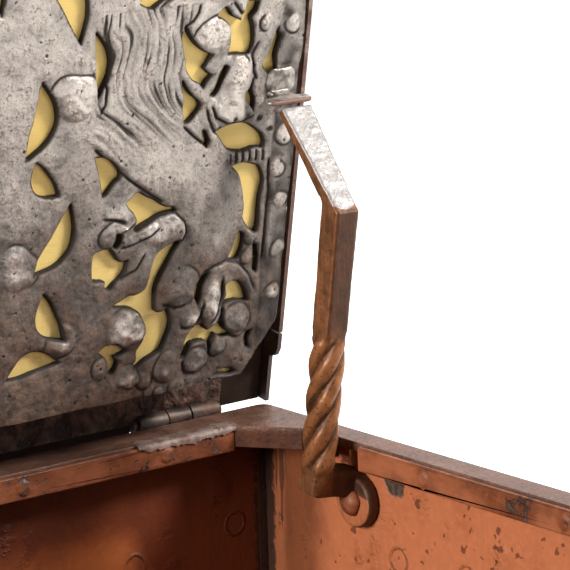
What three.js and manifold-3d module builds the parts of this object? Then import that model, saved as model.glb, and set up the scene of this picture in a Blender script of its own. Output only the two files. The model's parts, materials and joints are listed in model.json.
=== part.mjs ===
// Forged iron strongbox with a large lid lock and a twisted lid prop.
// Millimetres, +Z up, +X to the right, +Y to the rear where the hinges are.
// The origin is the centre of the underside. The lid stands open on its prop.

import * as THREE from 'three';
import { mergeVertices } from 'three/addons/utils/BufferGeometryUtils.js';
import Module from 'manifold-3d';

const wasm = await Module();
wasm.setup();

// Driving sizes

const seam = 0.3;        // gap left between two pieces that lie on each other
const overrun = 2;       // how far a cutting tool reaches past the face it cuts

const box = { width: 620, depth: 370, height: 360, wall: 4, floor: 5 };

const rim = {
  sideWidth: 19,         // over the side walls, with the riveted strip
  endWidth: 27,          // over the front and rear walls, with the strip
  plate: 5,
  leg: 3,                // turned down leg along the inner edge
  legHeight: 12,
  overhang: 2,           // past the outside of the walls
  cornerRadius: 6,
  cutAcross: 22,         // the diagonal at each inner corner, along X
  cutAlong: 30,          // and along Y
};

const strip = { thickness: 3, height: 13, drop: 1.2, rivetPitch: 88, endShare: 0.5 };

const rivet = { radius: 5, height: 2.6, sink: 0.6, sides: 6, flatHeight: 1.4 };

const band = { width: 36, thickness: 3, ramp: 5, clear: 1, pitch: 62, endInset: 16 };
const bandShares = { lower: 0.21, upper: 0.79 };   // of the box's height
const bandTop = 16;      // bands on the walls stop this far below the rim's top
const bandFoot = 6;

const corner = { leg: 40, thickness: 3, pitch: 96, firstRivet: 34 };

const frontBandX = 150;  // of the two upright bands of the front
const hingeX = 254;      // of the two hinges, and of the lid's bands in line with them
const hinge = {
  back: 6.5,             // axis behind the rim's rear edge
  rise: 1,               // axis above the rim's top
  knuckle: 6,            // outer radius
  pin: 2.6,
  bore: 2.9,
  middle: 15,            // length of the lid's knuckle
  outer: 18,             // length of each of the strap's two knuckles
  strapWidth: 30,
  gap: 0.5,
  head: 4.2,
  headLength: 2.5,
  openAngle: 79,         // of the lid, propped
};

const lid = {
  plate: 4,
  restGap: 0.4,          // over the rim when shut
  sideGap: 0.6,          // between the rim's edge and the skirt
  rearReach: 5.5,        // past the rim's rear edge
  tail: 3,               // past the hinge axis, between the hinges
  skirt: 2.6,
  skirtDepth: 12,
  skirtDepthRear: 5.5,
  skirtStep: 28,         // where the skirt gets shallower, from the hinge axis
  skirtRound: 6.4,
  slitFrom: 43,          // saw cut ahead of the skirt's round end
  slitWidth: 0.9,
  slitDepth: 8,
  edgeWidth: 24,
  edgeThickness: 3,
  slotFrom: 106,         // slot in the right skirt, from the hinge axis
  slotLength: 9.5,
  slotHeight: 6,
  slotDrop: 3,
  bandRearShare: 0.25,   // places of the two long bands, of the lid's depth
  bandFrontShare: 0.75,
};

const lock = {
  sideClear: 2.2,        // case to the rim's strips, shut
  frontClear: 5,
  wall: 3,
  height: 30,
  brass: 0.8,
  coverThickness: 3.5,
};

const bolt = {
  thickness: 8,
  depth: 16.4,           // lid's inner face to the near face of the bolts
  headWidth: 18,
  barWidth: 12,
  tailWidth: 16,
  tailEnd: 12,
  travel: 14,
  clear: 0.4,
  sideHeads: 45,         // from the lock's centre line
  endHeads: 100,
  sideReach: 32,         // head length on the side bolts
  endReach: 36,
  shoulder: 9,           // bar past the outside of its heads
};

const wheel = {
  thickness: 4,
  drivePin: 3,
  slotClear: 0.6,
  startRadius: 22,
  rimWeb: 6,
  bore: 5.3,
  bitWidth: 5,
  bitReach: 15,
  turn: 90,
  slotSteps: 7,
  spare: 3,              // degrees that each slot runs on past the drive pin's ends
};

const drillPin = { radius: 5, length: 23, brassHole: 5.4 };
const keeper = { length: 10, leg: 5, roof: 3, clear: 0.7, placeShare: 0.66 };
const spring = { leaf: 1.6, footLength: 16, footWidth: 9, height: 28, gap: 0.5, contact: 26, steps: 8 };
const springFootShares = { across: 0.255, along: 0.477 };   // of the case's half width and half length

const keyhole = { radius: 6.5, slotWidth: 5, slotReach: 15 };
const flap = {
  plate: 2.5,
  radius: 18,
  boss: 8.5,
  reach: 34,             // pin to keyhole
  drop: 4,
  pin: 2.8,
  bore: 3.1,
  head: 5,
  headHeight: 2,
};

const prop = {
  fromSide: 34.5,        // bar axis, from the rim's outer edge
  fromRear: 91,          // rivet, from the rim's rear edge
  belowRim: 34.5,        // rivet
  lean: 10,              // shank, forward of upright
  bar: 14,               // across the flats of the square bar
  chamfer: 1.5,
  offset: 5,             // bar axis behind the line through the rivet
  eye: 14.5,
  eyeThickness: 7,
  notchFront: 13,        // notch in the rim beside the eye, ahead of the rivet
  notchRear: 10,         // and behind it
  wallGap: 0.5,
  rivet: 5,
  bore: 5.3,
  head: 7.4,
  headHeight: 4,
  armFrom: 8,            // the arm's lower face, from the rivet's centre
  armHeight: 13,
  twistFrom: 19,
  twistLength: 80,
  twistTurn: 360,
  twistSteps: 28,
  bendAt: 162,
  bladeAngle: 38.5,      // blade, back of upright
  bladeLength: 60.3,
  bladeFace: 6.6,        // blade's flat front ahead of the bar's axis at the bend
  footWidth: 14,
  tipWidth: 18.6,
  footThickness: 7.8,
  tipThickness: 4.9,
  tongueWidth: 9,
  tongueThickness: 2.8,
  tongueStart: 0.3,      // behind the tip's front edge
  tongueTop: 0.2,        // below the catch's top
};

const catchPlate = {
  width: 29,
  plate: 2.4,
  gap: 2,                // over the prop's tip
  slotClear: 0.6,
  base: 2.5,
  baseInner: 2,          // from the prop's middle toward the lid's middle
  baseOuter: 12,         // and toward its side
  baseHeight: 8,
  rivet: 2.4,
  cornerRadius: 5,
  cornerSteps: 4,
};

const handle = {
  heightShare: 0.53,     // of the box's height
  plateLength: 128,
  plateWidth: 30,
  plate: 3,
  lugPlace: 41,
  lugRadius: 10,
  lugWidth: 9,
  standOff: 12,          // axis from the plate's outer face
  bar: 5,
  bore: 5.5,
  pinInside: 33,
  span: 60,
  drop: 58,
  cornerRadius: 12,
  steps: 30,
  sides: 8,
};

const escutcheon = {
  width: 96,
  height: 132,
  plate: 3,
  centreShare: 0.5,
  ring: 22,
  ringBore: 12,
  ringHeight: 3,
  lobes: 40,
};
const slotInEscutcheon = { width: 8, length: 22 };

// leaves' stations, and how much of the rear pattern's depth the front one has
const cover = { stations: 4, frontShare: 0.877 };

// Numbers of sides of round pieces
const facets = { wheel: 40, eye: 28, plain: 24, hole: 20, pin: 16, head: 14, small: 12, knob: 10, corner: 4 };
const flapSteps = { body: 10, boss: 6 };
const flapBodyShares = { from: -0.06, turn: 0.62 };  // of a whole turn
const capSteps = 4;      // at each end of the wheel's slots

// Places worked out from the sizes

const bandHeights = {
  lower: bandShares.lower * box.height,
  upper: bandShares.upper * box.height,
};

const halfWidth = box.width / 2;
const halfDepth = box.depth / 2;
const wallX = halfWidth - rim.overhang;             // outside of the side walls
const wallY = halfDepth - rim.overhang;             // outside of front and rear walls
const openX = halfWidth - rim.sideWidth + strip.thickness;
const openY = halfDepth - rim.endWidth + strip.thickness;
const cutX = halfWidth - rim.sideWidth;             // where the corner diagonals end
const cutY = halfDepth - rim.endWidth;
const stripX = openX - seam - strip.thickness;      // inner faces of the strips
const stripY = openY - seam - strip.thickness;
const step = band.thickness + seam;                 // rise of a band over another

const axisY = halfDepth + hinge.back;               // hinge axis
const axisZ = box.height + hinge.rise;
const lidInner = lid.restGap - hinge.rise;          // lid's inner face, in the lid's frame
const lidTop = lidInner + lid.plate;
const lidBandZ = lidTop + seam;
const flapZ = lidBandZ + band.thickness + seam;     // underside of the keyhole cover
const skirtX = halfWidth + lid.sideGap;
const skirtY = -(hinge.back + box.depth + lid.sideGap);

const caseX = stripX - lock.sideClear;
const caseRear = -(axisY - stripY + lock.sideClear);
const caseFront = -(axisY + stripY - lock.frontClear);
const caseY = (caseRear + caseFront) / 2;
const caseHalf = (caseRear - caseFront) / 2;
const brassZ = lidInner - seam - lock.height - seam - lock.brass;
const coverZ = brassZ - seam - lock.coverThickness;          // outer face of the lock cover

// Solids

const radians = (degrees) => (degrees * Math.PI) / 180;

function fromGeometry(geometry) {
  const bare = geometry.clone();
  bare.deleteAttribute('normal');
  bare.deleteAttribute('uv');
  const merged = mergeVertices(bare);
  const corners = merged.index.array;
  const places = merged.attributes.position.array;
  const kept = [];
  let volume = 0;
  const a = new THREE.Vector3();
  const b = new THREE.Vector3();
  const c = new THREE.Vector3();
  for (let i = 0; i < corners.length; i += 3) {
    const [p, q, r] = [corners[i], corners[i + 1], corners[i + 2]];
    if (p === q || q === r || r === p) continue;
    a.fromArray(places, 3 * p);
    b.fromArray(places, 3 * q);
    c.fromArray(places, 3 * r);
    volume += a.dot(b.cross(c));
    kept.push(p, q, r);
  }
  const triVerts = new Uint32Array(volume < 0 ? kept.reverse() : kept);
  return new wasm.Manifold(new wasm.Mesh({ numProp: 3, vertProperties: new Float32Array(places), triVerts }));
}

const solidOf = (piece) => (piece instanceof wasm.Manifold ? piece : fromGeometry(piece));

function joined(pieces) {
  return pieces.map(solidOf).reduce((whole, piece) => whole.add(piece));
}

function cut(piece, tools) {
  return tools.map(solidOf).reduce((whole, tool) => whole.subtract(tool), solidOf(piece));
}

function mesh(name, piece, finish) {
  const found = solidOf(piece).getMesh();
  const geometry = new THREE.BufferGeometry();
  geometry.setAttribute('position', new THREE.BufferAttribute(new Float32Array(found.vertProperties), 3));
  geometry.setIndex(new THREE.BufferAttribute(new Uint32Array(found.triVerts), 1));
  geometry.computeVertexNormals();
  const made = new THREE.Mesh(geometry, new THREE.MeshStandardMaterial(finish));
  made.name = name;
  return made;
}

// A block given by its lowest and highest corners.
function block(low, high) {
  const size = high.map((value, i) => value - low[i]);
  const geometry = new THREE.BoxGeometry(...size);
  geometry.translate(...low.map((value, i) => value + size[i] / 2));
  return geometry;
}

// A prism over an outline of [x, y] points, from z = from to z = to.
function prism(points, from, to, holes = []) {
  const shape = new THREE.Shape(points.map(([x, y]) => new THREE.Vector2(x, y)));
  for (const hole of holes) {
    shape.holes.push(new THREE.Path(hole.map(([x, y]) => new THREE.Vector2(x, y))));
  }
  const geometry = new THREE.ExtrudeGeometry(shape, { depth: to - from, bevelEnabled: false });
  geometry.translate(0, 0, from);
  return geometry;
}

// A round bar along X, Y or Z through centre, from and to measured on that axis.
function bar(axis, radius, from, to, centre, sides = facets.plain) {
  const geometry = new THREE.CylinderGeometry(radius, radius, to - from, sides);
  if (axis === 'x') geometry.rotateZ(-Math.PI / 2);
  if (axis === 'z') geometry.rotateX(Math.PI / 2);
  const place = { x: 0, y: 0, z: 0, ...centre };
  place[axis] = (from + to) / 2;
  geometry.translate(place.x, place.y, place.z);
  return geometry;
}

function circle(radius, count, centre = [0, 0]) {
  return Array.from({ length: count }, (_, i) => {
    const turn = (2 * Math.PI * i) / count;
    return [centre[0] + radius * Math.cos(turn), centre[1] + radius * Math.sin(turn)];
  });
}

// A domed rivet head standing on z = 0.
function dome(radius, height, sides = rivet.sides, sink = rivet.sink) {
  const domeShares = [[1, 0], [0.74, 0.72]];
  const profile = [
    new THREE.Vector2(0, -sink),
    new THREE.Vector2(radius, -sink),
    ...domeShares.map(([r, h]) => new THREE.Vector2(radius * r, height * h)),
    new THREE.Vector2(0, height),
  ];
  const geometry = new THREE.LatheGeometry(profile, sides);
  geometry.rotateX(Math.PI / 2);
  return geometry;
}

// Puts a piece drawn with X along, Y across and Z outward where it belongs.
function placed(geometry, along, outward, origin) {
  const across = new THREE.Vector3().crossVectors(outward, along);
  const matrix = new THREE.Matrix4().makeBasis(along, across, outward);
  matrix.setPosition(origin);
  return geometry.applyMatrix4(matrix);
}

const toward = {
  right: new THREE.Vector3(1, 0, 0),
  left: new THREE.Vector3(-1, 0, 0),
  rear: new THREE.Vector3(0, 1, 0),
  front: new THREE.Vector3(0, -1, 0),
  up: new THREE.Vector3(0, 0, 1),
  down: new THREE.Vector3(0, 0, -1),
};

// Finishes

const iron = () => ({ color: 0x5b443c, roughness: 0.62, metalness: 0.55 });
const redLead = () => ({ color: 0xb4623a, roughness: 0.75, metalness: 0.05 });
const rimIron = () => ({ color: 0x6b4b44, roughness: 0.6, metalness: 0.4 });
const propIron = () => ({ color: 0x94582f, roughness: 0.5, metalness: 0.6 });
const steel = () => ({ color: 0x857b74, roughness: 0.45, metalness: 0.8 });
const brass = () => ({ color: 0xd8b25c, roughness: 0.4, metalness: 0.85 });

// Bands

// Side view of a flat band that steps over other bands: [from, to, rise] for each.
function bandOutline(length, thickness, rises) {
  const lower = [[0, 0]];
  for (const [from, to, rise] of rises) {
    if (from - band.ramp > 0) {
      lower.push([from - band.ramp, 0], [from, rise]);
    } else {
      lower.length = 0;
      lower.push([0, rise]);
    }
    if (to + band.ramp < length) {
      lower.push([to, rise], [to + band.ramp, 0]);
    } else {
      lower.push([length, rise]);
    }
  }
  if (lower[lower.length - 1][0] < length) lower.push([length, 0]);
  const upper = lower.map(([x, y]) => [x, y + thickness]).reverse();
  return [...lower, ...upper];
}

// A riveted band, X along, Y across its width, Z outward.
function rivetedBand(length, sizes = {}) {
  const { width = band.width, thickness = band.thickness, rises = [], rivets = [] } = sizes;
  const flat = prism(bandOutline(length, thickness, rises), -width / 2, width / 2);
  flat.rotateX(Math.PI / 2);
  const heads = rivets.map(([along, rise]) => {
    return dome(rivet.radius, rivet.height).translate(along, 0, thickness + rise);
  });
  return joined([flat, ...heads]);
}

// Rivet places along a band, even, and left out near the given places.
function spread(length, skip = [], rise = 0) {
  const count = Math.max(2, Math.round((length - 2 * band.endInset) / band.pitch) + 1);
  const gap = (length - 2 * band.endInset) / (count - 1);
  const places = Array.from({ length: count }, (_, i) => band.endInset + i * gap);
  const near = band.width / 2 + band.clear + band.ramp + rivet.radius;
  return places.filter((at) => skip.every((other) => Math.abs(other - at) > near)).map((at) => [at, rise]);
}

function transformed(solid, along, outward, origin) {
  const found = solid.getMesh();
  const geometry = new THREE.BufferGeometry();
  geometry.setAttribute('position', new THREE.BufferAttribute(new Float32Array(found.vertProperties), 3));
  geometry.setIndex(new THREE.BufferAttribute(new Uint32Array(found.triVerts), 1));
  return placed(geometry, along, outward, origin);
}

// Bands that run round the box, between the corner straps.
function levelBand(name, face, height) {
  const onEnd = face === 'front' || face === 'rear';
  const reach = (onEnd ? wallX : wallY) + seam - corner.leg + corner.thickness - seam;
  const length = 2 * reach;
  const crossing = face === 'front' ? frontBandX : hingeX;
  const skip = onEnd ? [reach - crossing, reach + crossing] : [];
  const flat = rivetedBand(length, { rivets: spread(length, skip) });
  const distance = (onEnd ? wallY : wallX) + seam;
  const outward = toward[face];
  const along = new THREE.Vector3().crossVectors(outward, toward.down);
  const origin = outward.clone().multiplyScalar(distance).addScaledVector(along, -reach);
  origin.z = height;
  return mesh(name, transformed(flat, along, outward, origin), iron());
}

// Upright bands of the front, over the level ones.
function uprightBand(name, x) {
  const length = box.height - bandTop - bandFoot;
  const over = Object.values(bandHeights).map((z) => z - bandFoot);
  const reach = band.width / 2 + band.clear;
  const rises = over.map((z) => [z - reach, z + reach, step]);
  const rivets = [...spread(length, over), ...over.map((z) => [z, step])];
  const flat = rivetedBand(length, { rises, rivets });
  const origin = new THREE.Vector3(x, -wallY - seam, bandFoot);
  return mesh(name, transformed(flat, toward.up, toward.front, origin), iron());
}

function cornerStrap(name, sideX, sideY) {
  const { leg, thickness } = corner;
  const outline = [
    [0, 0], [-leg, 0], [-leg, -thickness], [-thickness, -thickness], [-thickness, -leg], [0, -leg],
  ];
  const top = box.height - bandTop;
  const pieces = [prism(outline, bandFoot, top)];
  const count = Math.floor((top - bandFoot - corner.firstRivet) / corner.pitch) + 1;
  for (let i = 0; i < count; i += 1) {
    const z = bandFoot + corner.firstRivet + i * corner.pitch;
    const middle = -(leg + thickness) / 2;
    const onRear = dome(rivet.radius, rivet.height);
    pieces.push(placed(onRear, toward.right, toward.rear, new THREE.Vector3(middle, 0, z)));
    const onSide = dome(rivet.radius, rivet.height);
    pieces.push(placed(onSide, toward.rear, toward.right, new THREE.Vector3(0, middle, z)));
  }
  const made = mesh(name, joined(pieces), iron());
  const quarter = sideX > 0 ? (sideY > 0 ? 0 : 3) : (sideY > 0 ? 1 : 2);
  made.rotation.z = (quarter * Math.PI) / 2;
  made.position.set(sideX * (wallX + seam + thickness), sideY * (wallY + seam + thickness), 0);
  return made;
}

// Walls, floor and rim

function walls() {
  const low = box.floor + seam;
  const high = box.height - rim.plate - seam;
  const sideY = wallY - box.wall - seam;
  const pieces = [];
  pieces.push(mesh('floor_plate', block([-wallX, -wallY, 0], [wallX, wallY, box.floor]), iron()));
  pieces.push(mesh('front_wall', block([-wallX, -wallY, low], [wallX, -wallY + box.wall, high]), redLead()));
  pieces.push(mesh('rear_wall', block([-wallX, wallY - box.wall, low], [wallX, wallY, high]), redLead()));
  pieces.push(mesh('left_wall', block([-wallX, -sideY, low], [-wallX + box.wall, sideY, high]), redLead()));
  const right = block([wallX - box.wall, -sideY, low], [wallX, sideY, high]);
  const inside = wallX - box.wall - overrun;
  const hole = bar('x', prop.rivet + seam, inside, wallX + overrun, propPivot(), facets.pin);
  pieces.push(mesh('right_wall', cut(right, [hole]), redLead()));
  return pieces;
}

function roundedRectangle(x, y, radius, count = facets.corner) {
  const points = [];
  const corners = [[1, 1, 0], [-1, 1, 1], [-1, -1, 2], [1, -1, 3]];
  for (const [sx, sy, quarter] of corners) {
    for (let i = 0; i <= count; i += 1) {
      const turn = ((quarter + i / count) * Math.PI) / 2;
      points.push([sx * (x - radius) + radius * Math.cos(turn), sy * (y - radius) + radius * Math.sin(turn)]);
    }
  }
  return points;
}

// The rim's opening, with a diagonal at each corner and a step where a strip starts.
function rimOpening() {
  const quarter = [
    [openX, cutY - rim.cutAlong],
    [cutX, cutY - rim.cutAlong],
    [cutX - rim.cutAcross, cutY],
    [cutX - rim.cutAcross, openY],
  ];
  const mirror = (sx, sy) => quarter.map(([x, y]) => [sx * x, sy * y]);
  return [...mirror(1, 1), ...mirror(-1, 1).reverse(), ...mirror(-1, -1), ...mirror(1, -1).reverse()];
}

function rimFrame() {
  const opening = rimOpening();
  const outer = roundedRectangle(halfWidth, halfDepth, rim.cornerRadius);
  const top = prism(outer, box.height - rim.plate, box.height, [opening]);
  const legX = openX + rim.leg;
  const legY = openY + rim.leg;
  const around = [[legX, legY], [-legX, legY], [-legX, -legY], [legX, -legY]];
  const leg = prism(around, box.height - rim.legHeight, box.height - rim.plate / 2, [opening]);
  const pivot = propPivot();
  const notch = block(
    [openX - overrun, pivot.y - prop.notchFront, box.height - rim.legHeight - overrun],
    [legX + overrun, pivot.y + prop.notchRear, box.height - rim.plate],
  );
  return mesh('rim_frame', cut(joined([top, leg]), [notch]), rimIron());
}

// A strip riveted to the rim's leg, drawn X along, Z toward the inside of the box.
function rimStrip(name, face, from, to) {
  const length = to - from;
  const flat = block([0, -strip.height / 2, 0], [length, strip.height / 2, strip.thickness]);
  const count = Math.max(2, Math.round(length / strip.rivetPitch));
  const pieces = [flat];
  for (let i = 0; i < count; i += 1) {
    const at = (length * (i + strip.endShare)) / count;
    pieces.push(dome(rivet.radius, rivet.flatHeight).translate(at, 0, strip.thickness));
  }
  const inward = toward[face].clone().negate();
  const along = face === 'front' || face === 'rear' ? toward.right : toward.rear;
  const distance = (face === 'front' || face === 'rear' ? openY : openX) - seam;
  const origin = toward[face].clone().multiplyScalar(distance).addScaledVector(along, from);
  origin.z = box.height - strip.drop - strip.height / 2;
  return mesh(name, transformed(joined(pieces), along, inward, origin), redLead());
}

function rimStrips() {
  const side = cutY - rim.cutAlong - seam;
  const end = cutX - rim.cutAcross - seam;
  const stop = propPivot().y - prop.notchFront;
  return [
    rimStrip('rim_strip_right', 'right', -side, stop),
    rimStrip('rim_strip_left', 'left', -side, side),
    rimStrip('rim_strip_front', 'front', -end, end),
    rimStrip('rim_strip_rear', 'rear', -end, end),
  ];
}

// Hinges

function knuckles(pieces, spans, x) {
  for (const [from, to] of spans) {
    pieces.push(bar('x', hinge.knuckle, x + from, x + to, { y: 0, z: 0 }, facets.pin));
  }
}

const innerKnuckle = () => hinge.middle / 2;
const outerKnuckle = () => hinge.middle / 2 + hinge.gap + hinge.outer;

// Strap on the rear wall with the two outer knuckles, in the hinge axis' frame.
function hingeStrap(name, x) {
  const inside = -(hinge.back + rim.overhang - seam);
  const foot = bandFoot - axisZ;
  const length = -foot;
  const over = Object.values(bandHeights).map((z) => z - axisZ - foot);
  const reach = band.width / 2 + band.clear;
  const lift = rim.overhang + seam;
  const rises = over.map((z) => [z - reach, z + reach, step]);
  const neck = length - rim.plate - hinge.rise - band.ramp;
  rises.push([neck, length, lift]);
  const rivets = [...spread(length, [...over, length]), ...over.map((z) => [z, step])];
  const flat = rivetedBand(length, { width: hinge.strapWidth, rises, rivets });
  const origin = new THREE.Vector3(x, inside, foot);
  const pieces = [transformed(flat, toward.up, toward.rear, origin)];
  const inner = innerKnuckle() + hinge.gap;
  const outer = outerKnuckle();
  knuckles(pieces, [[-outer, -inner], [inner, outer]], x);
  const room = hinge.knuckle + hinge.gap;
  const between = block([x - inner, -room - overrun, -room], [x + inner, room, room + overrun]);
  const tools = [between, bar('x', hinge.bore, x - outer - overrun, x + outer + overrun, { y: 0, z: 0 })];
  const made = mesh(name, cut(joined(pieces), tools), iron());
  made.position.set(0, axisY, axisZ);
  return made;
}

function hingePin(name, x) {
  const end = outerKnuckle() + seam;
  const pieces = [
    bar('x', hinge.pin, x - end - hinge.headLength, x + end + hinge.headLength, { y: 0, z: 0 }, facets.pin),
    bar('x', hinge.head, x - end - hinge.headLength, x - end, { y: 0, z: 0 }, facets.small),
    bar('x', hinge.head, x + end, x + end + hinge.headLength, { y: 0, z: 0 }, facets.small),
  ];
  const made = mesh(name, joined(pieces), iron());
  made.position.set(0, axisY, axisZ);
  return made;
}

// Lid, in the hinge axis' frame, shut: -Y forward, +Z up

function lidPlate() {
  const x = skirtX - seam;
  const rear = -(hinge.back - lid.rearReach);
  const half = outerKnuckle() + hinge.headLength + seam + hinge.gap;
  const plate = joined([
    block([-x, skirtY + seam, lidInner], [x, rear, lidTop]),
    block([half - hingeX, rear - overrun, lidInner], [hingeX - half, lid.tail, lidTop]),
  ]);
  const tools = [];
  for (const side of [-hingeX, hingeX]) {
    const room = hinge.knuckle + lid.sideGap;
    tools.push(block([side - half, -room, lidInner - overrun], [side + half, overrun, lidTop + overrun]));
  }
  tools.push(...keyholeTools(lidInner, lidTop));
  const pinY = caseY - flap.reach;
  const headZ = flapZ + flap.plate + seam;
  const pin = bar('z', flap.pin, lidTop - overrun, headZ + seam, { x: 0, y: pinY }, facets.pin);
  const head = bar('z', flap.head, headZ, headZ + flap.headHeight, { x: 0, y: pinY }, facets.pin);
  return mesh('lid_plate', joined([cut(plate, tools), pin, head]), iron());
}

function keyholeTools(from, to) {
  const half = keyhole.slotWidth / 2;
  const low = from - overrun;
  const high = to + overrun;
  return [
    bar('z', keyhole.radius, low, high, { x: 0, y: caseY }, facets.hole),
    block([-half, caseY, low], [half, caseY + keyhole.slotReach, high]),
  ];
}

// Edge band: a flat leg on the lid's top and a skirt outside the rim.
function lidEdgeSide(name, side) {
  const outer = skirtX + lid.skirt;
  const front = skirtY + seam;
  const rear = -(hinge.back - lid.rearReach);
  const top = lidBandZ + lid.edgeThickness;
  const low = lidInner - lid.skirtDepth;
  const lowRear = lidInner - lid.skirtDepthRear;
  const turnShares = [[0, 1], [0.3, 0.3], [1, 0]];
  const turned = turnShares.map(([a, b]) => [
    -lid.skirtStep - a * lid.skirtRound,
    low + b * lid.skirtRound,
  ]);
  const outline = [
    [front, top], [front, low], ...turned.reverse(),
    [-lid.skirtStep, lowRear], [rear, lowRear], [rear, top],
  ];
  const skirt = prism(outline, 0, lid.skirt);
  const matrix = new THREE.Matrix4().makeBasis(toward.rear, toward.up, toward.right);
  skirt.applyMatrix4(matrix);
  skirt.translate(skirtX, 0, 0);
  const knuckleRoom = -(hinge.knuckle + lid.sideGap);
  const legFront = skirtY + lid.edgeWidth - lid.skirt + seam;
  const leg = block([outer - lid.edgeWidth, legFront, lidBandZ], [outer - lid.skirt / 2, rear, top]);
  const pieces = [skirt, leg];
  const length = knuckleRoom - legFront;
  const x = outer - lid.edgeWidth / 2;
  for (const [at] of spread(length)) {
    pieces.push(dome(rivet.radius, rivet.height).translate(x, legFront + at, top));
  }
  const slotTop = lidInner - lid.slotDrop;
  const slot = block(
    [skirtX - overrun, -lid.slotFrom - lid.slotLength, slotTop - lid.slotHeight],
    [outer + overrun, -lid.slotFrom, slotTop],
  );
  const slit = block(
    [skirtX - overrun, -lid.slitFrom - lid.slitWidth, low - overrun],
    [outer + overrun, -lid.slitFrom, low + lid.slitDepth],
  );
  const whole = cut(joined(pieces), side > 0 ? [slit, slot] : [slit]);
  if (side > 0) return mesh(name, whole, iron());
  const found = whole.getMesh();
  const mirrored = new THREE.BufferGeometry();
  mirrored.setAttribute('position', new THREE.BufferAttribute(new Float32Array(found.vertProperties), 3));
  mirrored.setIndex(new THREE.BufferAttribute(new Uint32Array(found.triVerts), 1));
  mirrored.applyMatrix4(new THREE.Matrix4().makeScale(-1, 1, 1));
  return mesh(name, mirrored, iron());
}

function lidEdgeFront() {
  const outer = skirtX + lid.skirt;
  const top = lidBandZ + lid.edgeThickness;
  const skirt = block([-outer, skirtY - lid.skirt, lidInner - lid.skirtDepth], [outer, skirtY, top]);
  const legX = skirtX - seam;
  const legEnd = skirtY - lid.skirt + lid.edgeWidth;
  const leg = block([-legX, skirtY - lid.skirt / 2, lidBandZ], [legX, legEnd, top]);
  const pieces = [skirt, leg];
  const y = skirtY - lid.skirt + lid.edgeWidth / 2;
  const skip = [outer - hingeX, outer, outer + hingeX];
  for (const [at] of spread(2 * outer, skip)) {
    pieces.push(dome(rivet.radius, rivet.height).translate(at - outer, y, top));
  }
  return mesh('lid_edge_front', joined(pieces), iron());
}

function lidLongBand(name, share) {
  const reach = skirtX + lid.skirt - lid.edgeWidth - seam;
  const y = lidBandY(share);
  const skip = [reach - hingeX, reach, reach + hingeX];
  const flat = rivetedBand(2 * reach, { rivets: spread(2 * reach, skip) });
  const origin = new THREE.Vector3(-reach, y, lidBandZ);
  return mesh(name, transformed(flat, toward.right, toward.up, origin), iron());
}

const lidBandY = (share) => share * skirtY;

// Band over the lid from rear to front, starting at y = -from, with no rivets near skip.
function lidCrossBand(x, from, skip) {
  const length = -skirtY - hinge.head - from;
  const over = [lid.bandRearShare, lid.bandFrontShare].map((share) => -lidBandY(share) - from);
  const reach = band.width / 2 + band.clear;
  const rises = over.map((y) => [y - reach, y + reach, step]);
  rises.push([length + hinge.head - lid.edgeWidth - band.clear, length, step]);
  const free = [...over, ...skip.map((y) => -y - from), length];
  const rivets = [...spread(length, free), ...over.map((y) => [y, step])];
  rivets.push([length - rivet.radius - band.clear, step]);
  const flat = rivetedBand(length, { rises, rivets });
  return transformed(flat, toward.front, toward.up, new THREE.Vector3(x, -from, lidBandZ));
}

// The middle knuckle stands at the rear end of this band.
function lidHingeBand(name, x) {
  const pieces = [lidCrossBand(x, 0, [0])];
  const inner = innerKnuckle();
  const outer = outerKnuckle() + hinge.headLength + hinge.gap;
  knuckles(pieces, [[-inner, inner]], x);
  const room = hinge.knuckle + hinge.gap;
  const high = lidBandZ + band.thickness + overrun;
  const tools = [
    block([x - outer, -room, lidBandZ - overrun], [x - inner, room, high]),
    block([x + inner, -room, lidBandZ - overrun], [x + outer, room, high]),
    bar('x', hinge.bore, x - inner - overrun, x + inner + overrun, { y: 0, z: 0 }),
  ];
  return mesh(name, cut(joined(pieces), tools), iron());
}

// The band in the middle has the keyhole and the pin of its cover in it.
function lidMiddleBand() {
  const pinY = caseY - flap.reach;
  const high = lidBandZ + band.thickness;
  const flat = lidCrossBand(0, hinge.back - lid.rearReach, [caseY, pinY]);
  const pinHole = bar('z', flap.bore, lidBandZ - overrun, high + overrun, { x: 0, y: pinY }, facets.hole);
  return mesh('lid_band_middle', cut(flat, [...keyholeTools(lidBandZ, high), pinHole]), iron());
}

function keyholeCover() {
  const points = [];
  const boss = flap.boss;
  const bodyY = flap.reach + flap.drop;
  for (let i = 0; i <= flapSteps.body; i += 1) {
    const turn = 2 * Math.PI * (flapBodyShares.from + (flapBodyShares.turn * i) / flapSteps.body);
    points.push([flap.radius * Math.cos(turn), bodyY + flap.radius * Math.sin(turn)]);
  }
  for (let i = 0; i <= flapSteps.boss; i += 1) {
    const turn = Math.PI + (Math.PI * i) / flapSteps.boss;
    points.push([boss * Math.cos(turn), boss * Math.sin(turn)]);
  }
  const plate = prism(points, 0, flap.plate, [circle(flap.bore, facets.hole)]);
  const knob = dome(flap.head, flap.headHeight, facets.knob).translate(0, bodyY, flap.plate);
  const made = mesh('keyhole_cover', joined([plate, knob]), iron());
  made.position.set(0, caseY - flap.reach, flapZ);
  return made;
}

// Lock, in the hinge axis' frame

function lockOutline(inset) {
  const x = caseX - inset;
  const y = caseHalf - inset;
  const quarter = [[x, y - rim.cutAlong], [x - rim.cutAcross, y]];
  const mirror = (sx, sy) => quarter.map(([px, py]) => [sx * px, sy * py]);
  return [...mirror(1, 1), ...mirror(-1, 1).reverse(), ...mirror(-1, -1), ...mirror(1, -1).reverse()];
}

function boltHeadPlaces() {
  return [
    { side: 'right', across: [-bolt.sideHeads, bolt.sideHeads] },
    { side: 'left', across: [-bolt.sideHeads, bolt.sideHeads] },
    { side: 'rear', across: [-bolt.endHeads, bolt.endHeads] },
    { side: 'front', across: [-bolt.endHeads, bolt.endHeads] },
  ];
}

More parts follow.
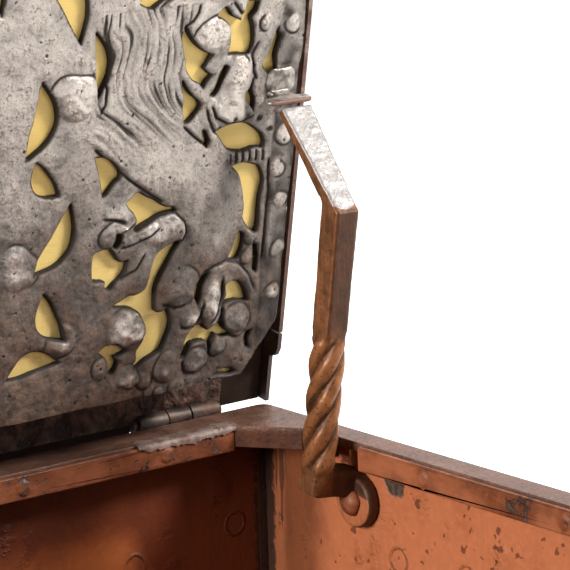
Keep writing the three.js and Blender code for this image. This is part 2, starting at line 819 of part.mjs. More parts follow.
function lockCase() {
  const top = lidInner - seam;
  const ring = prism(lockOutline(0), top - lock.height, top, [lockOutline(lock.wall)]);
  const high = lidInner - bolt.depth + bolt.clear;
  const low = lidInner - bolt.depth - bolt.thickness - bolt.clear;
  const half = bolt.headWidth / 2 + bolt.clear;
  const tools = [];
  for (const { side, across } of boltHeadPlaces()) {
    const reach = side === 'right' || side === 'left' ? caseX : caseHalf;
    for (const at of across) {
      const tool = block([reach - lock.wall - overrun, at - half, low], [reach + overrun, at + half, high]);
      tools.push(placed(tool, toward[side], toward.up, new THREE.Vector3(0, 0, 0)));
    }
  }
  const made = mesh('lock_case', cut(ring, tools), steel());
  made.position.y = caseY;
  return made;
}

function brassSheet() {
  const sheet = prism(lockOutline(0), brassZ, brassZ + lock.brass, [circle(drillPin.brassHole, facets.pin)]);
  const made = mesh('brass_sheet', sheet, brass());
  made.position.y = caseY;
  return made;
}

// A leaf shaped cutter for the lock cover. Its shares: centre across and toward the
// front, length, width, turn in degrees, bend, and fullness toward its start.
function leaf([acrossShare, frontShare, lengthShare, widthShare, turn, bendShare, fullShare]) {
  const centre = [acrossShare * caseX, -frontShare * caseHalf];
  const length = lengthShare * caseHalf;
  const width = widthShare * caseHalf;
  const angle = radians(turn);
  const side = (sign) => (_, i) => {
    const t = i / cover.stations;
    const half = (width / 2) * Math.sin(Math.PI * t) ** 0.75 * (1 + fullShare * (0.5 - t));
    const along = (t - 0.5) * length;
    const across = sign * half + bendShare * length * Math.sin(Math.PI * t);
    return [
      centre[0] + along * Math.cos(angle) - across * Math.sin(angle),
      centre[1] - along * Math.sin(angle) - across * Math.cos(angle),
    ];
  };
  const upper = Array.from({ length: cover.stations + 1 }, side(1));
  const lower = Array.from({ length: cover.stations + 1 }, side(-1));
  return [...upper, ...lower.slice(1, -1).reverse()];
}

// Openings of the right half, as outlines: across, and toward the rear from the centre.
const outlineMiddleShares = [
  [
    [0.808, -0.304], [0.825, -0.33], [0.835, -0.317], [0.842, -0.298], [0.863, -0.278], [0.867, -0.311],
    [0.873, -0.343], [0.898, -0.337], [0.894, -0.311], [0.884, -0.285], [0.891, -0.246],
    [0.894, -0.194], [0.887, -0.162], [0.863, -0.168], [0.842, -0.168], [0.846, -0.207],
    [0.842, -0.246], [0.832, -0.278], [0.818, -0.298],
  ],
  [
    [0.742, -0.285], [0.752, -0.252], [0.769, -0.213], [0.787, -0.188], [0.804, -0.175],
    [0.797, -0.149], [0.79, -0.129], [0.801, -0.11], [0.808, -0.103], [0.797, -0.084], [0.79, -0.064],
    [0.78, -0.084], [0.763, -0.103], [0.752, -0.136], [0.749, -0.168], [0.742, -0.207], [0.738, -0.246],
  ],
  [
    [0.842, -0.123], [0.835, -0.129], [0.825, -0.103], [0.818, -0.064], [0.808, -0.038],
    [0.815, -0.032], [0.825, -0.051], [0.832, -0.084],
  ],
  [
    [0.745, -0.097], [0.752, -0.077], [0.766, -0.045], [0.783, -0.019], [0.787, 0.001], [0.776, 0.027],
    [0.763, 0.046], [0.756, 0.046], [0.752, 0.001], [0.749, -0.051],
  ],
  [
    [0.797, 0.085], [0.804, 0.091], [0.811, 0.124], [0.808, 0.143], [0.801, 0.124],
  ],
  [
    [0.901, -0.071], [0.894, -0.038], [0.887, -0.025], [0.887, -0.006], [0.898, 0.02], [0.905, 0.04],
    [0.905, 0.001], [0.898, -0.032],
  ],
  [
    [0.946, -0.226], [0.953, -0.207], [0.946, -0.142], [0.95, -0.09], [0.939, -0.077], [0.929, -0.09],
    [0.919, -0.116], [0.929, -0.149], [0.936, -0.181],
  ],
  [
    [0.825, 0.091], [0.842, 0.085], [0.863, 0.079], [0.887, 0.079], [0.908, 0.098], [0.929, 0.13],
    [0.936, 0.156], [0.936, 0.176], [0.915, 0.169], [0.891, 0.176], [0.867, 0.169], [0.853, 0.156],
    [0.839, 0.124],
  ],
  [
    [0.87, 0.228], [0.887, 0.26], [0.898, 0.312], [0.905, 0.377], [0.905, 0.416], [0.915, 0.448],
    [0.929, 0.474], [0.936, 0.474], [0.939, 0.442], [0.939, 0.358], [0.943, 0.293], [0.932, 0.247],
    [0.919, 0.234], [0.894, 0.221],
  ],
  [
    [0.572, 0.124], [0.593, 0.13], [0.61, 0.15], [0.624, 0.182], [0.627, 0.202], [0.614, 0.221],
    [0.6, 0.254], [0.593, 0.26], [0.589, 0.221], [0.582, 0.176],
  ],
];

// Those toward the rear, which are repeated toward the front.
const outlineRearShares = [
  [
    [0.641, 0.293], [0.652, 0.28], [0.669, 0.267], [0.686, 0.286], [0.707, 0.306], [0.728, 0.332],
    [0.745, 0.338], [0.752, 0.351], [0.735, 0.351], [0.714, 0.358], [0.697, 0.371], [0.679, 0.384],
    [0.666, 0.396], [0.662, 0.39], [0.669, 0.364], [0.659, 0.332], [0.648, 0.312],
  ],
  [
    [0.624, 0.396], [0.634, 0.403], [0.634, 0.429], [0.627, 0.448], [0.62, 0.435],
  ],
  [
    [0.582, 0.461], [0.596, 0.448], [0.614, 0.448], [0.624, 0.468], [0.638, 0.5], [0.655, 0.5],
    [0.652, 0.533], [0.641, 0.559], [0.631, 0.572], [0.62, 0.591], [0.61, 0.578], [0.61, 0.559],
    [0.596, 0.552], [0.582, 0.546],
  ],
  [
    [0.756, 0.461], [0.766, 0.461], [0.756, 0.487], [0.742, 0.533], [0.728, 0.578], [0.721, 0.617],
    [0.721, 0.663], [0.724, 0.701], [0.738, 0.708], [0.749, 0.701], [0.756, 0.727], [0.759, 0.766],
    [0.752, 0.805], [0.742, 0.844], [0.728, 0.857], [0.711, 0.87], [0.693, 0.89], [0.683, 0.89],
    [0.69, 0.864], [0.69, 0.831], [0.7, 0.799], [0.704, 0.753], [0.693, 0.714], [0.686, 0.689],
    [0.669, 0.669], [0.652, 0.663], [0.631, 0.656], [0.645, 0.643], [0.666, 0.63], [0.679, 0.63],
    [0.697, 0.611], [0.704, 0.572], [0.707, 0.533], [0.714, 0.5], [0.735, 0.474],
  ],
  [
    [0.835, 0.591], [0.821, 0.604], [0.811, 0.63], [0.804, 0.663], [0.808, 0.676], [0.815, 0.701],
    [0.818, 0.676], [0.821, 0.637], [0.832, 0.604],
  ],
  [
    [0.877, 0.65], [0.891, 0.643], [0.905, 0.65], [0.919, 0.676], [0.929, 0.721], [0.919, 0.721],
    [0.905, 0.714], [0.887, 0.714], [0.87, 0.721], [0.88, 0.689], [0.877, 0.663],
  ],
  [
    [0.898, 0.468], [0.908, 0.481], [0.908, 0.52], [0.901, 0.559], [0.894, 0.565], [0.877, 0.559],
    [0.887, 0.526], [0.891, 0.5],
  ],
  [
    [0.932, 0.52], [0.939, 0.526], [0.943, 0.585], [0.943, 0.624], [0.936, 0.611], [0.932, 0.565],
  ],
  [
    [0.787, 0.89], [0.794, 0.838], [0.804, 0.799], [0.825, 0.779], [0.842, 0.805], [0.86, 0.792],
    [0.873, 0.786], [0.88, 0.812], [0.898, 0.838], [0.877, 0.838], [0.863, 0.825], [0.853, 0.857],
    [0.849, 0.89], [0.842, 0.844], [0.825, 0.838], [0.808, 0.844], [0.797, 0.883],
  ],
  [
    [0.867, 0.981], [0.884, 0.968], [0.905, 0.968], [0.915, 0.981], [0.905, 0.987], [0.884, 0.981],
  ],
  [
    [0.607, 0.812], [0.62, 0.792], [0.638, 0.786], [0.652, 0.805], [0.666, 0.825], [0.641, 0.838],
    [0.648, 0.864], [0.638, 0.896], [0.631, 0.89], [0.627, 0.857], [0.62, 0.831],
  ],
  [
    [0.936, 0.844], [0.943, 0.838], [0.939, 0.87], [0.943, 0.903], [0.936, 0.896], [0.932, 0.87],
  ],
];

// Leaf shaped openings nearer the middle of the lid.
const leafMiddleShares = [
  [0.561, 0.190, 0.22, 0.052, 96, -0.12, 0.0],
  [0.440, 0.030, 0.26, 0.090, 80, -0.18, 0.2],
  [0.475, -0.170, 0.16, 0.070, 128, 0.14, 0.0],
  [0.330, 0.110, 0.22, 0.080, 118, 0.18, 0.2],
  [0.322, -0.120, 0.22, 0.080, 60, -0.16, 0.2],
  [0.210, 0.010, 0.20, 0.085, 92, 0.16, 0.0],
];
const leafRearShares = [
  [0.492, -0.380, 0.26, 0.090, 60, -0.16, 0.3],
  [0.505, -0.650, 0.20, 0.080, 118, 0.14, 0.0],
  [0.470, -0.830, 0.20, 0.070, 8, 0.16, 0.2],
  [0.372, -0.520, 0.26, 0.085, 96, 0.16, -0.2],
  [0.340, -0.780, 0.20, 0.080, 58, -0.16, 0.3],
  [0.225, -0.360, 0.26, 0.085, 44, -0.16, 0.2],
  [0.232, -0.640, 0.22, 0.080, 112, 0.16, 0.0],
  [0.095, -0.470, 0.18, 0.070, 100, 0.12, 0.0],
  [0.110, -0.790, 0.24, 0.080, 34, 0.16, 0.3],
];

function lockCover() {
  const sized = (line) => line.map(([x, y]) => [x * caseX, y * caseHalf]);
  const toFront = ([x, y]) => [x, (caseHalf - y) * cover.frontShare - caseHalf];
  const rear = outlineRearShares.map(sized);
  const leaves = leafRearShares.map(leaf);
  const outlines = [
    ...outlineMiddleShares.map(sized), ...rear, ...rear.map((line) => line.map(toFront)),
    ...leafMiddleShares.map(leaf), ...leaves, ...leaves.map((line) => line.map(([x, y]) => [x, -y])),
  ];
  const tools = [];
  for (const side of [1, -1]) {
    for (const outline of outlines) {
      const line = outline.map(([x, y]) => [side * x, y]);
      tools.push(prism(line, coverZ - overrun, coverZ + lock.coverThickness + overrun));
    }
  }
  const sheet = prism(lockOutline(0), coverZ, coverZ + lock.coverThickness);
  const made = mesh('lock_cover', cut(sheet, tools), steel());
  made.position.y = caseY;
  return made;
}

const isSide = (side) => side === 'right' || side === 'left';
const boltEnd = (side) => (isSide(side) ? caseX : caseHalf) - seam;
const boltBarEnd = (side) => boltEnd(side) - (isSide(side) ? bolt.sideReach : bolt.endReach);
const boltBarStart = (side) => boltBarEnd(side) - bolt.barWidth;

// A bolt bar drawn with X toward its wall: tail, cross bar and two heads.
function boltBar(name, side) {
  const end = boltEnd(side);
  const heads = isSide(side) ? bolt.sideHeads : bolt.endHeads;
  const barEnd = boltBarEnd(side);
  const barStart = boltBarStart(side);
  const tail = bolt.tailWidth / 2;
  const head = bolt.headWidth / 2;
  const half = [
    [bolt.tailEnd, tail],
    [barStart, tail],
    [barStart, heads + head - bolt.shoulder / 2],
    [barStart + bolt.shoulder / 2, heads + head],
    [end, heads + head],
    [end, heads - head],
    [barEnd, heads - head],
  ];
  const outline = [...half, ...half.map(([x, y]) => [x, -y]).reverse()];
  const high = lidInner - bolt.depth;
  const low = high - bolt.thickness;
  const flat = prism(outline, low, high);
  const at = { x: wheel.startRadius, y: 0 };
  const pin = bar('z', wheel.drivePin, wheelLow(), low + overrun, at, facets.small);
  const made = mesh(name, placedSolid(joined([flat, pin]), toward[side], toward.up), steel());
  made.position.y = caseY;
  return made;
}

const wheelHigh = () => lidInner - bolt.depth - bolt.thickness - bolt.clear;
const wheelLow = () => wheelHigh() - wheel.thickness;
const placedSolid = (solid, along, outward) => transformed(solid, along, outward, new THREE.Vector3());

// Spiral slot that drives a bolt outward while the wheel turns.
function spiralSlot(start) {
  const half = wheel.drivePin + wheel.slotClear;
  const spare = wheel.spare / wheel.turn;
  const centres = [];
  for (let i = 0; i <= wheel.slotSteps; i += 1) {
    const share = -spare + ((1 + 2 * spare) * i) / wheel.slotSteps;
    const radius = wheel.startRadius + bolt.travel * share;
    const turn = start - (share * wheel.turn * Math.PI) / 180;
    centres.push([radius, turn]);
  }
  const point = (radius, turn) => [radius * Math.cos(turn), radius * Math.sin(turn)];
  const cap = (radius, turn, sign) => Array.from({ length: capSteps - 1 }, (_, i) => {
    const bend = (Math.PI * (i + 1)) / capSteps;
    const [x, y] = [half * Math.cos(bend), sign * half * Math.sin(bend)];
    return [
      (radius + x) * Math.cos(turn) - y * Math.sin(turn),
      (radius + x) * Math.sin(turn) + y * Math.cos(turn),
    ];
  });
  const outer = centres.map(([r, turn]) => point(r + half, turn));
  const inner = centres.map(([r, turn]) => point(r - half, turn)).reverse();
  const [lastR, lastTurn] = centres[centres.length - 1];
  const [firstR, firstTurn] = centres[0];
  return [...outer, ...cap(lastR, lastTurn, -1), ...inner, ...cap(firstR, firstTurn, 1).reverse()];
}

function driveWheel() {
  const outer = wheel.startRadius + bolt.travel + wheel.drivePin + wheel.slotClear + wheel.rimWeb;
  const slots = [0, 1, 2, 3].map((quarter) => spiralSlot((quarter * Math.PI) / 2));
  const holes = [circle(wheel.bore, facets.hole), ...slots];
  const disc = prism(circle(outer, facets.wheel), wheelLow(), wheelHigh(), holes);
  const half = wheel.bitWidth / 2;
  const bit = block([-half, 0, wheelLow() - overrun], [half, wheel.bitReach, wheelHigh() + overrun]);
  const made = mesh('drive_wheel', cut(disc, [bit]), steel());
  made.position.y = caseY;
  return made;
}

function keeperStrap(name, side) {
  const at = keeper.placeShare * boltBarStart(side);
  const half = bolt.tailWidth / 2 + keeper.clear;
  const foot = lidInner - seam;
  const roof = lidInner - bolt.depth - bolt.thickness - keeper.clear;
  const outer = half + keeper.leg;
  const low = roof - keeper.roof;
  const outline = [
    [-outer, foot], [-outer, low], [outer, low], [outer, foot],
    [half, foot], [half, roof], [-half, roof], [-half, foot],
  ];
  const arch = prism(outline, at - keeper.length / 2, at + keeper.length / 2);
  arch.applyMatrix4(new THREE.Matrix4().makeBasis(toward.rear, toward.up, toward.right));
  const made = mesh(name, placed(arch, toward[side], toward.up, new THREE.Vector3()), steel());
  made.position.y = caseY;
  return made;
}

// A leaf spring on edge that presses on the wheel's rim.
function detentSpring() {
  const outer = wheel.startRadius + bolt.travel + wheel.drivePin + wheel.slotClear + wheel.rimWeb;
  const touch = outer + spring.gap + spring.leaf / 2;
  const turn = (spring.contact * Math.PI) / 180;
  const tip = new THREE.Vector2(touch * Math.cos(turn), touch * Math.sin(turn));
  const foot = new THREE.Vector2(springFootShares.across * caseX, springFootShares.along * caseHalf);
  const along = new THREE.Vector2(-Math.sin(turn), Math.cos(turn));
  const middle = tip.clone().addScaledVector(along, foot.distanceTo(tip) / 2);
  const curve = new THREE.QuadraticBezierCurve(tip, middle, foot);
  const left = [];
  const right = [];
  for (let i = 0; i <= spring.steps; i += 1) {
    const at = curve.getPoint(i / spring.steps);
    const way = curve.getTangent(i / spring.steps);
    const off = new THREE.Vector2(-way.y, way.x).multiplyScalar(spring.leaf / 2);
    left.push([at.x + off.x, at.y + off.y]);
    right.push([at.x - off.x, at.y - off.y]);
  }
  const top = lidInner - seam;
  const blade = prism([...left, ...right.reverse()], top - spring.height, top);
  const base = block(
    [foot.x - spring.footLength / 2, foot.y - spring.footWidth / 2, top - spring.height],
    [foot.x + spring.footLength / 2, foot.y + spring.footWidth / 2, top],
  );
  const made = mesh('detent_spring', joined([blade, base]), steel());
  made.position.y = caseY;
  return made;
}

function drillPinPiece() {
  const low = brassZ;
  const pin = bar('z', drillPin.radius, low, low + drillPin.length, { x: 0, y: 0 }, facets.pin);
  const made = mesh('drill_pin', pin, steel());
  made.position.y = caseY;
  return made;
}

// Prop and its catch

function propPivot() {
  return { y: halfDepth - prop.fromRear, z: box.height - prop.belowRim };
}

const propX = halfWidth - prop.fromSide;

// The blade in the prop's frame, v to the rear and u along the shank: its direction,
// the bend, and the direction square to its flat face.
function bladeFrame() {
  const lean = radians(prop.bladeAngle + prop.lean);
  const along = new THREE.Vector2(Math.sin(lean), Math.cos(lean));
  const bend = new THREE.Vector2(prop.offset, prop.bendAt);
  return { along, bend, ahead: new THREE.Vector2(-along.y, along.x) };
}

// A point of the blade's side view, from its distance along and ahead of the bend.
function onBlade(distance, height) {
  const { along, bend, ahead } = bladeFrame();
  return bend.clone().addScaledVector(along, distance).addScaledVector(ahead, height);
}

// Closed body between two four-sided sections, each [low left, low right, high right, high left].
function wedge(first, second) {
  const places = new Float32Array([...first, ...second].flatMap((at) => at.toArray()));
  const quads = [[0, 3, 2, 1], [4, 5, 6, 7], [0, 1, 5, 4], [1, 2, 6, 5], [2, 3, 7, 6], [3, 0, 4, 7]];
  const geometry = new THREE.BufferGeometry();
  geometry.setAttribute('position', new THREE.BufferAttribute(places, 3));
  geometry.setIndex(quads.flatMap(([a, b, c, d]) => [a, b, c, a, c, d]));
  return geometry;
}

// The prop upright in its own frame: origin on the rivet's axis, +Z along the
// shank, +Y to the rear, X across. The tongue stands parallel to the lid.
function propPiece() {
  const wallIn = wallX - box.wall - propX;
  const eyeOut = wallIn - prop.wallGap;
  const eyeIn = eyeOut - prop.eyeThickness;
  const half = prop.bar / 2;
  const eye = bar('x', prop.eye, eyeIn, eyeOut, { y: 0, z: 0 }, facets.eye);
  const armTop = prop.armFrom + prop.armHeight;
  const arm = block([-half, prop.offset - half, prop.armFrom], [eyeOut, prop.offset + half, armTop]);
  const chamfered = [];
  const near = half - prop.chamfer;
  for (const [sx, sy] of [[1, 1], [-1, 1], [-1, -1], [1, -1]]) {
    const pair = [[sx * half, sy * near], [sx * near, sy * half]];
    chamfered.push(...(sx * sy > 0 ? pair : pair.reverse()));
  }
  const shape = new THREE.Shape(chamfered.map(([x, y]) => new THREE.Vector2(x, y)));
  const run = { depth: prop.twistLength, steps: prop.twistSteps, bevelEnabled: false };
  const twist = new THREE.ExtrudeGeometry(shape, run);
  const spots = twist.attributes.position;
  for (let i = 0; i < spots.count; i += 1) {
    const turn = (radians(prop.twistTurn) * spots.getZ(i)) / prop.twistLength;
    const [x, y] = [spots.getX(i), spots.getY(i)];
    spots.setXY(i, x * Math.cos(turn) - y * Math.sin(turn), x * Math.sin(turn) + y * Math.cos(turn));
  }
  twist.translate(0, prop.offset, prop.twistFrom);
  const twistEnd = prop.twistFrom + prop.twistLength;
  const foot = prism(chamfered, prop.armFrom, prop.twistFrom).translate(0, prop.offset, 0);
  const top = prop.bendAt + prop.bar;
  const shank = prism(chamfered, twistEnd, top).translate(0, prop.offset, 0);
  // all of the shank that stands ahead of the blade's face is cut off
  const far = 2 * prop.bar;
  const face = prop.bladeFace;
  const ahead = [onBlade(-far, face), onBlade(far, face), onBlade(far, far), onBlade(-far, far)];
  const tool = prism(ahead.map((at) => [at.x, at.y]), -prop.bar, prop.bar);
  tool.applyMatrix4(new THREE.Matrix4().makeBasis(toward.rear, toward.up, toward.right));
  const trimmed = cut(shank, [tool]);
  const section = (distance, width, thickness) => [
    [-width / 2, face - thickness], [width / 2, face - thickness], [width / 2, face], [-width / 2, face],
  ].map(([x, height]) => {
    const at = onBlade(distance, height);
    return new THREE.Vector3(x, at.x, at.y);
  });
  const start = section(0, prop.footWidth, prop.footThickness);
  const tip = section(prop.bladeLength, prop.tipWidth, prop.tipThickness);
  const blade = wedge(start, tip);
  const tongue = block(
    [-prop.tongueWidth / 2, 0, -prop.tipThickness],
    [prop.tongueWidth / 2, prop.tongueThickness, catchPlate.gap + catchPlate.plate - prop.tongueTop],
  );
  const front = tipFront();
  tongue.translate(0, prop.tongueStart, 0);
  tongue.rotateX(-radians(lidLeanInProp()));
  tongue.translate(0, front.x, front.y);
  const hole = bar('x', prop.bore, eyeIn - overrun, eyeOut + overrun, { y: 0, z: 0 }, facets.hole);
  const made = mesh('prop', cut(joined([eye, arm, foot, twist, trimmed, blade, tongue]), [hole]), propIron());
  const pivot = propPivot();
  made.position.set(propX, pivot.y, pivot.z);
  made.rotation.x = radians(prop.lean);
  return made;
}

// Lid's lean less the shank's, so that the tongue is parallel to the lid.
const lidLeanInProp = () => prop.lean - (90 - hinge.openAngle);

// The tip's front edge in the prop's frame.
const tipFront = () => onBlade(prop.bladeLength, prop.bladeFace);

// The same edge in the lid's frame, where -Y runs from the hinge to the front.
function tipInLid() {
  const edge = tipFront();
  const lean = radians(prop.lean);
  const pivot = propPivot();
  const y = pivot.y + edge.x * Math.cos(lean) - edge.y * Math.sin(lean) - axisY;
  const z = pivot.z + edge.x * Math.sin(lean) + edge.y * Math.cos(lean) - axisZ;
  const open = radians(hinge.openAngle);
  return { y: y * Math.cos(open) - z * Math.sin(open), z: y * Math.sin(open) + z * Math.cos(open) };
}

// Fork on the lock cover that the tongue stands in.
function propCatch() {
  const edge = tipInLid();
  const half = catchPlate.width / 2;
  const near = edge.y - catchPlate.gap;
  const front = edge.z + prop.tongueStart;
  const root = coverZ - seam;
  const radius = catchPlate.cornerRadius;
  const slotHalf = prop.tongueWidth / 2 + catchPlate.slotClear;
  const slotTop = front + prop.tongueThickness + catchPlate.slotClear;
  const rounded = Array.from({ length: catchPlate.cornerSteps + 1 }, (_, i) => {
    const turn = (Math.PI * i) / (2 * catchPlate.cornerSteps);
    return [half - radius + radius * Math.cos(turn), front + radius - radius * Math.sin(turn)];
  });
  const side = [[half, root], ...rounded, [slotHalf, front], [slotHalf, slotTop]];
  const outline = [...side, ...side.map(([x, z]) => [-x, z]).reverse()];
  const plate = prism(outline, 0, catchPlate.plate);
  plate.applyMatrix4(new THREE.Matrix4().makeBasis(toward.right, toward.up, toward.front));
  plate.translate(propX, near, 0);
  const base = block(
    [propX - catchPlate.baseInner, near - catchPlate.baseHeight, root - catchPlate.base],
    [propX + catchPlate.baseOuter, near - catchPlate.plate / 2, root],
  );
  const middleX = propX + (catchPlate.baseOuter - catchPlate.baseInner) / 2;
  const middleY = near - (catchPlate.baseHeight + catchPlate.plate) / 2;
  const at = new THREE.Vector3(middleX, middleY, root - catchPlate.base);
  const head = placed(dome(catchPlate.rivet, rivet.flatHeight), toward.right, toward.down, at);
  return mesh('prop_catch', joined([plate, base, head]), steel());
}

function propRivet() {
  const pivot = propPivot();
  const eyeIn = wallX - box.wall - prop.wallGap - prop.eyeThickness;
  const from = eyeIn - seam - prop.headHeight / 2;
  const shank = bar('x', prop.rivet, from, wallX + seam + rivet.height / 2, pivot, facets.hole);
  const inner = dome(prop.head, prop.headHeight, facets.head, 0);
  placed(inner, toward.rear, toward.left, new THREE.Vector3(eyeIn - seam, pivot.y, pivot.z));
  const outer = dome(prop.head, rivet.height, facets.head, 0);
  placed(outer, toward.rear, toward.right, new THREE.Vector3(wallX + seam, pivot.y, pivot.z));
  return mesh('prop_rivet', joined([shank, inner, outer]), propIron());
}

// Handles and false escutcheon

const handleHeight = () => handle.heightShare * box.height;
const handleAxis = () => wallX + seam + handle.plate + handle.standOff;

function handlePlate(name, side) {
  const length = handle.plateLength / 2;
  const width = handle.plateWidth / 2;
  const outline = [
    [length - width / 2, -width], [length, 0], [length - width / 2, width],
    [-length + width / 2, width], [-length, 0], [-length + width / 2, -width],
  ];
  const pieces = [prism(outline, 0, handle.plate)];
  const tools = [];
  for (const place of [-handle.lugPlace, handle.lugPlace]) {
    const low = place - handle.lugWidth / 2;
    const high = place + handle.lugWidth / 2;
    const axis = handle.plate + handle.standOff;
    pieces.push(bar('x', handle.lugRadius, low, high, { y: 0, z: axis }, facets.pin));
    pieces.push(block([low, -handle.lugRadius, handle.plate / 2], [high, handle.lugRadius, axis]));
    tools.push(bar('x', handle.bore, low - overrun, high + overrun, { y: 0, z: axis }, facets.pin));
  }
  const firstRivet = (length + handle.lugPlace) / 2;
  for (const at of [-firstRivet, 0, firstRivet]) {
    pieces.push(dome(rivet.radius, rivet.height).translate(at, 0, handle.plate));
  }
  const outward = side > 0 ? toward.right : toward.left;
  const along = side > 0 ? toward.rear : toward.front;
  const origin = new THREE.Vector3(side * (wallX + seam), 0, handleHeight());
  return mesh(name, transformed(cut(joined(pieces), tools), along, outward, origin), iron());
}

// A line through the points with its corners rounded by the given radius.
function roundedPath(points, radius) {
  const path = new THREE.CurvePath();
  let last = points[0];
  for (let i = 1; i < points.length - 1; i += 1) {
    const before = points[i].clone().add(points[i - 1].clone().sub(points[i]).setLength(radius));
    const after = points[i].clone().add(points[i + 1].clone().sub(points[i]).setLength(radius));
    path.add(new THREE.LineCurve3(last, before));
    path.add(new THREE.QuadraticBezierCurve3(before, points[i], after));
    last = after;
  }
  path.add(new THREE.LineCurve3(last, points[points.length - 1]));
  return path;
}

function bailHandle(name, side) {
  const { span, drop, pinInside } = handle;
  const points = [
    [-pinInside, 0], [-span, 0], [-span, -drop], [span, -drop], [span, 0], [pinInside, 0],
  ].map(([y, z]) => new THREE.Vector3(0, y, z));
  const path = roundedPath(points, handle.cornerRadius);
  const section = new THREE.Shape(circle(handle.bar, handle.sides).map(([x, y]) => new THREE.Vector2(x, y)));
  const tube = new THREE.ExtrudeGeometry(section, { steps: handle.steps, extrudePath: path });
  const made = mesh(name, tube, iron());
  made.position.set(side * handleAxis(), 0, handleHeight());
  return made;
}

function falseEscutcheon() {
  const { width, height } = escutcheon;
  const points = [];
  for (let i = 0; i < escutcheon.lobes; i += 1) {
    const turn = (2 * Math.PI * i) / escutcheon.lobes;
    const waveShare = 0.9 + 0.1 * Math.cos(8 * turn);
    points.push([(width / 2) * waveShare * Math.cos(turn), (height / 2) * waveShare * Math.sin(turn)]);
  }
  const plate = prism(points, 0, escutcheon.plate);
  const high = escutcheon.plate + escutcheon.ringHeight;
  const ring = prism(circle(escutcheon.ring, facets.plain), escutcheon.plate / 2, high);
  const reach = escutcheon.plate + escutcheon.ringHeight + overrun;
  const hole = bar('z', escutcheon.ringBore / 2, -overrun, reach, { x: 0, y: 0 }, facets.pin);
  const half = slotInEscutcheon.width / 2;
  const slot = block([-half, -slotInEscutcheon.length, -overrun], [half, 0, reach]);
  const rivetPlaces = [[0, 1], [0, -1], [1, 0], [-1, 0]];
  const heads = rivetPlaces.map(([x, y]) => {
    const placeX = x * (width / 2 - 2 * rivet.radius);
    const placeY = y * (height / 2 - 2 * rivet.radius);
    return dome(rivet.radius, rivet.height).translate(placeX, placeY, escutcheon.plate);
  });
  const whole = cut(joined([plate, ring, ...heads]), [hole, slot]);
  const origin = new THREE.Vector3(0, -wallY - seam, escutcheon.centreShare * box.height);
  return mesh('false_escutcheon', transformed(whole, toward.right, toward.front, origin), iron());
}

// Assembly

const strongbox = new THREE.Group();
strongbox.add(...walls(), rimFrame(), ...rimStrips());
for (const [nameY, sideY] of [['front', -1], ['rear', 1]]) {
  for (const [nameX, sideX] of [['left', -1], ['right', 1]]) {
    strongbox.add(cornerStrap(`corner_strap_${nameY}_${nameX}`, sideX, sideY));
  }
}
for (const face of ['front', 'rear', 'left', 'right']) {
  for (const [level, height] of Object.entries(bandHeights)) {
    strongbox.add(levelBand(`${face}_band_${level}`, face, height));
  }
}
for (const [nameX, sideX] of [['left', -1], ['right', 1]]) {
  strongbox.add(
    uprightBand(`front_band_${nameX}`, sideX * frontBandX),
    hingeStrap(`hinge_strap_${nameX}`, sideX * hingeX),
    hingePin(`hinge_pin_${nameX}`, sideX * hingeX),
    handlePlate(`handle_plate_${nameX}`, sideX),
    bailHandle(`handle_${nameX}`, sideX),
  );
}
strongbox.add(falseEscutcheon(), propRivet(), propPiece());

const lidGroup = new THREE.Group();
lidGroup.position.set(0, axisY, axisZ);
lidGroup.rotation.x = -radians(hinge.openAngle);
lidGroup.add(
  lidPlate(),
  lidEdgeFront(),
  lidEdgeSide('lid_edge_left', -1),
  lidEdgeSide('lid_edge_right', 1),
  lidLongBand('lid_band_rear', lid.bandRearShare),
  lidLongBand('lid_band_front', lid.bandFrontShare),
  lidHingeBand('lid_band_left', -hingeX),
  lidHingeBand('lid_band_right', hingeX),
  lidMiddleBand(),
  keyholeCover(),
  lockCase(),
  brassSheet(),
  lockCover(),
  propCatch(),
  drillPinPiece(),
  detentSpring(),
  driveWheel(),
);
for (const side of ['front', 'rear', 'left', 'right']) {
  lidGroup.add(boltBar(`bolt_${side}`, side), keeperStrap(`keeper_${side}`, side));
}
strongbox.add(lidGroup);

export default strongbox;
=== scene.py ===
"""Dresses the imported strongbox: chased lock cover, forged prop, worn surfaces, floor, light and camera."""

import json
import math

import bmesh
import bpy
import numpy as np
from bpy.props import FloatProperty, FloatVectorProperty, IntProperty, PointerProperty
from mathutils import Matrix, Vector, kdtree, noise


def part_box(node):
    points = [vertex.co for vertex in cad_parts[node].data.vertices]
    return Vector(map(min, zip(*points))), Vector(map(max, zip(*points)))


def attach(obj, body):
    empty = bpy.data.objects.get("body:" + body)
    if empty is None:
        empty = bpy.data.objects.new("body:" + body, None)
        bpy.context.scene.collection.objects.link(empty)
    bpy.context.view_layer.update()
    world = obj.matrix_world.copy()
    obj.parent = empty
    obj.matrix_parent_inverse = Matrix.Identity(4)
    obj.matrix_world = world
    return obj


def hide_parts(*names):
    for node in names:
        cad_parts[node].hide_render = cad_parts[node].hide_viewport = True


bl_info = {
    "name": "Iron strongbox dressing",
    "version": (1, 1, 0),
    "blender": (4, 5, 0),
    "location": "3D View > Sidebar > Strongbox",
    "description": "Adds the chased lock cover, the forged prop, finishes, floor, light and camera",
    "category": "Object",
}

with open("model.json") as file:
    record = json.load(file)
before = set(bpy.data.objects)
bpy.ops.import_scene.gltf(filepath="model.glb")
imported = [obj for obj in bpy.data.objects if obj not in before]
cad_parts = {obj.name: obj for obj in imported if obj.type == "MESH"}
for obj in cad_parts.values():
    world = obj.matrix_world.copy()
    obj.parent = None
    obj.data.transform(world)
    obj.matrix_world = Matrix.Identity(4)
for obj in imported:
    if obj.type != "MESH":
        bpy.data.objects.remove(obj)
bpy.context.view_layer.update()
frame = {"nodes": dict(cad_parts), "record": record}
MM = 0.001

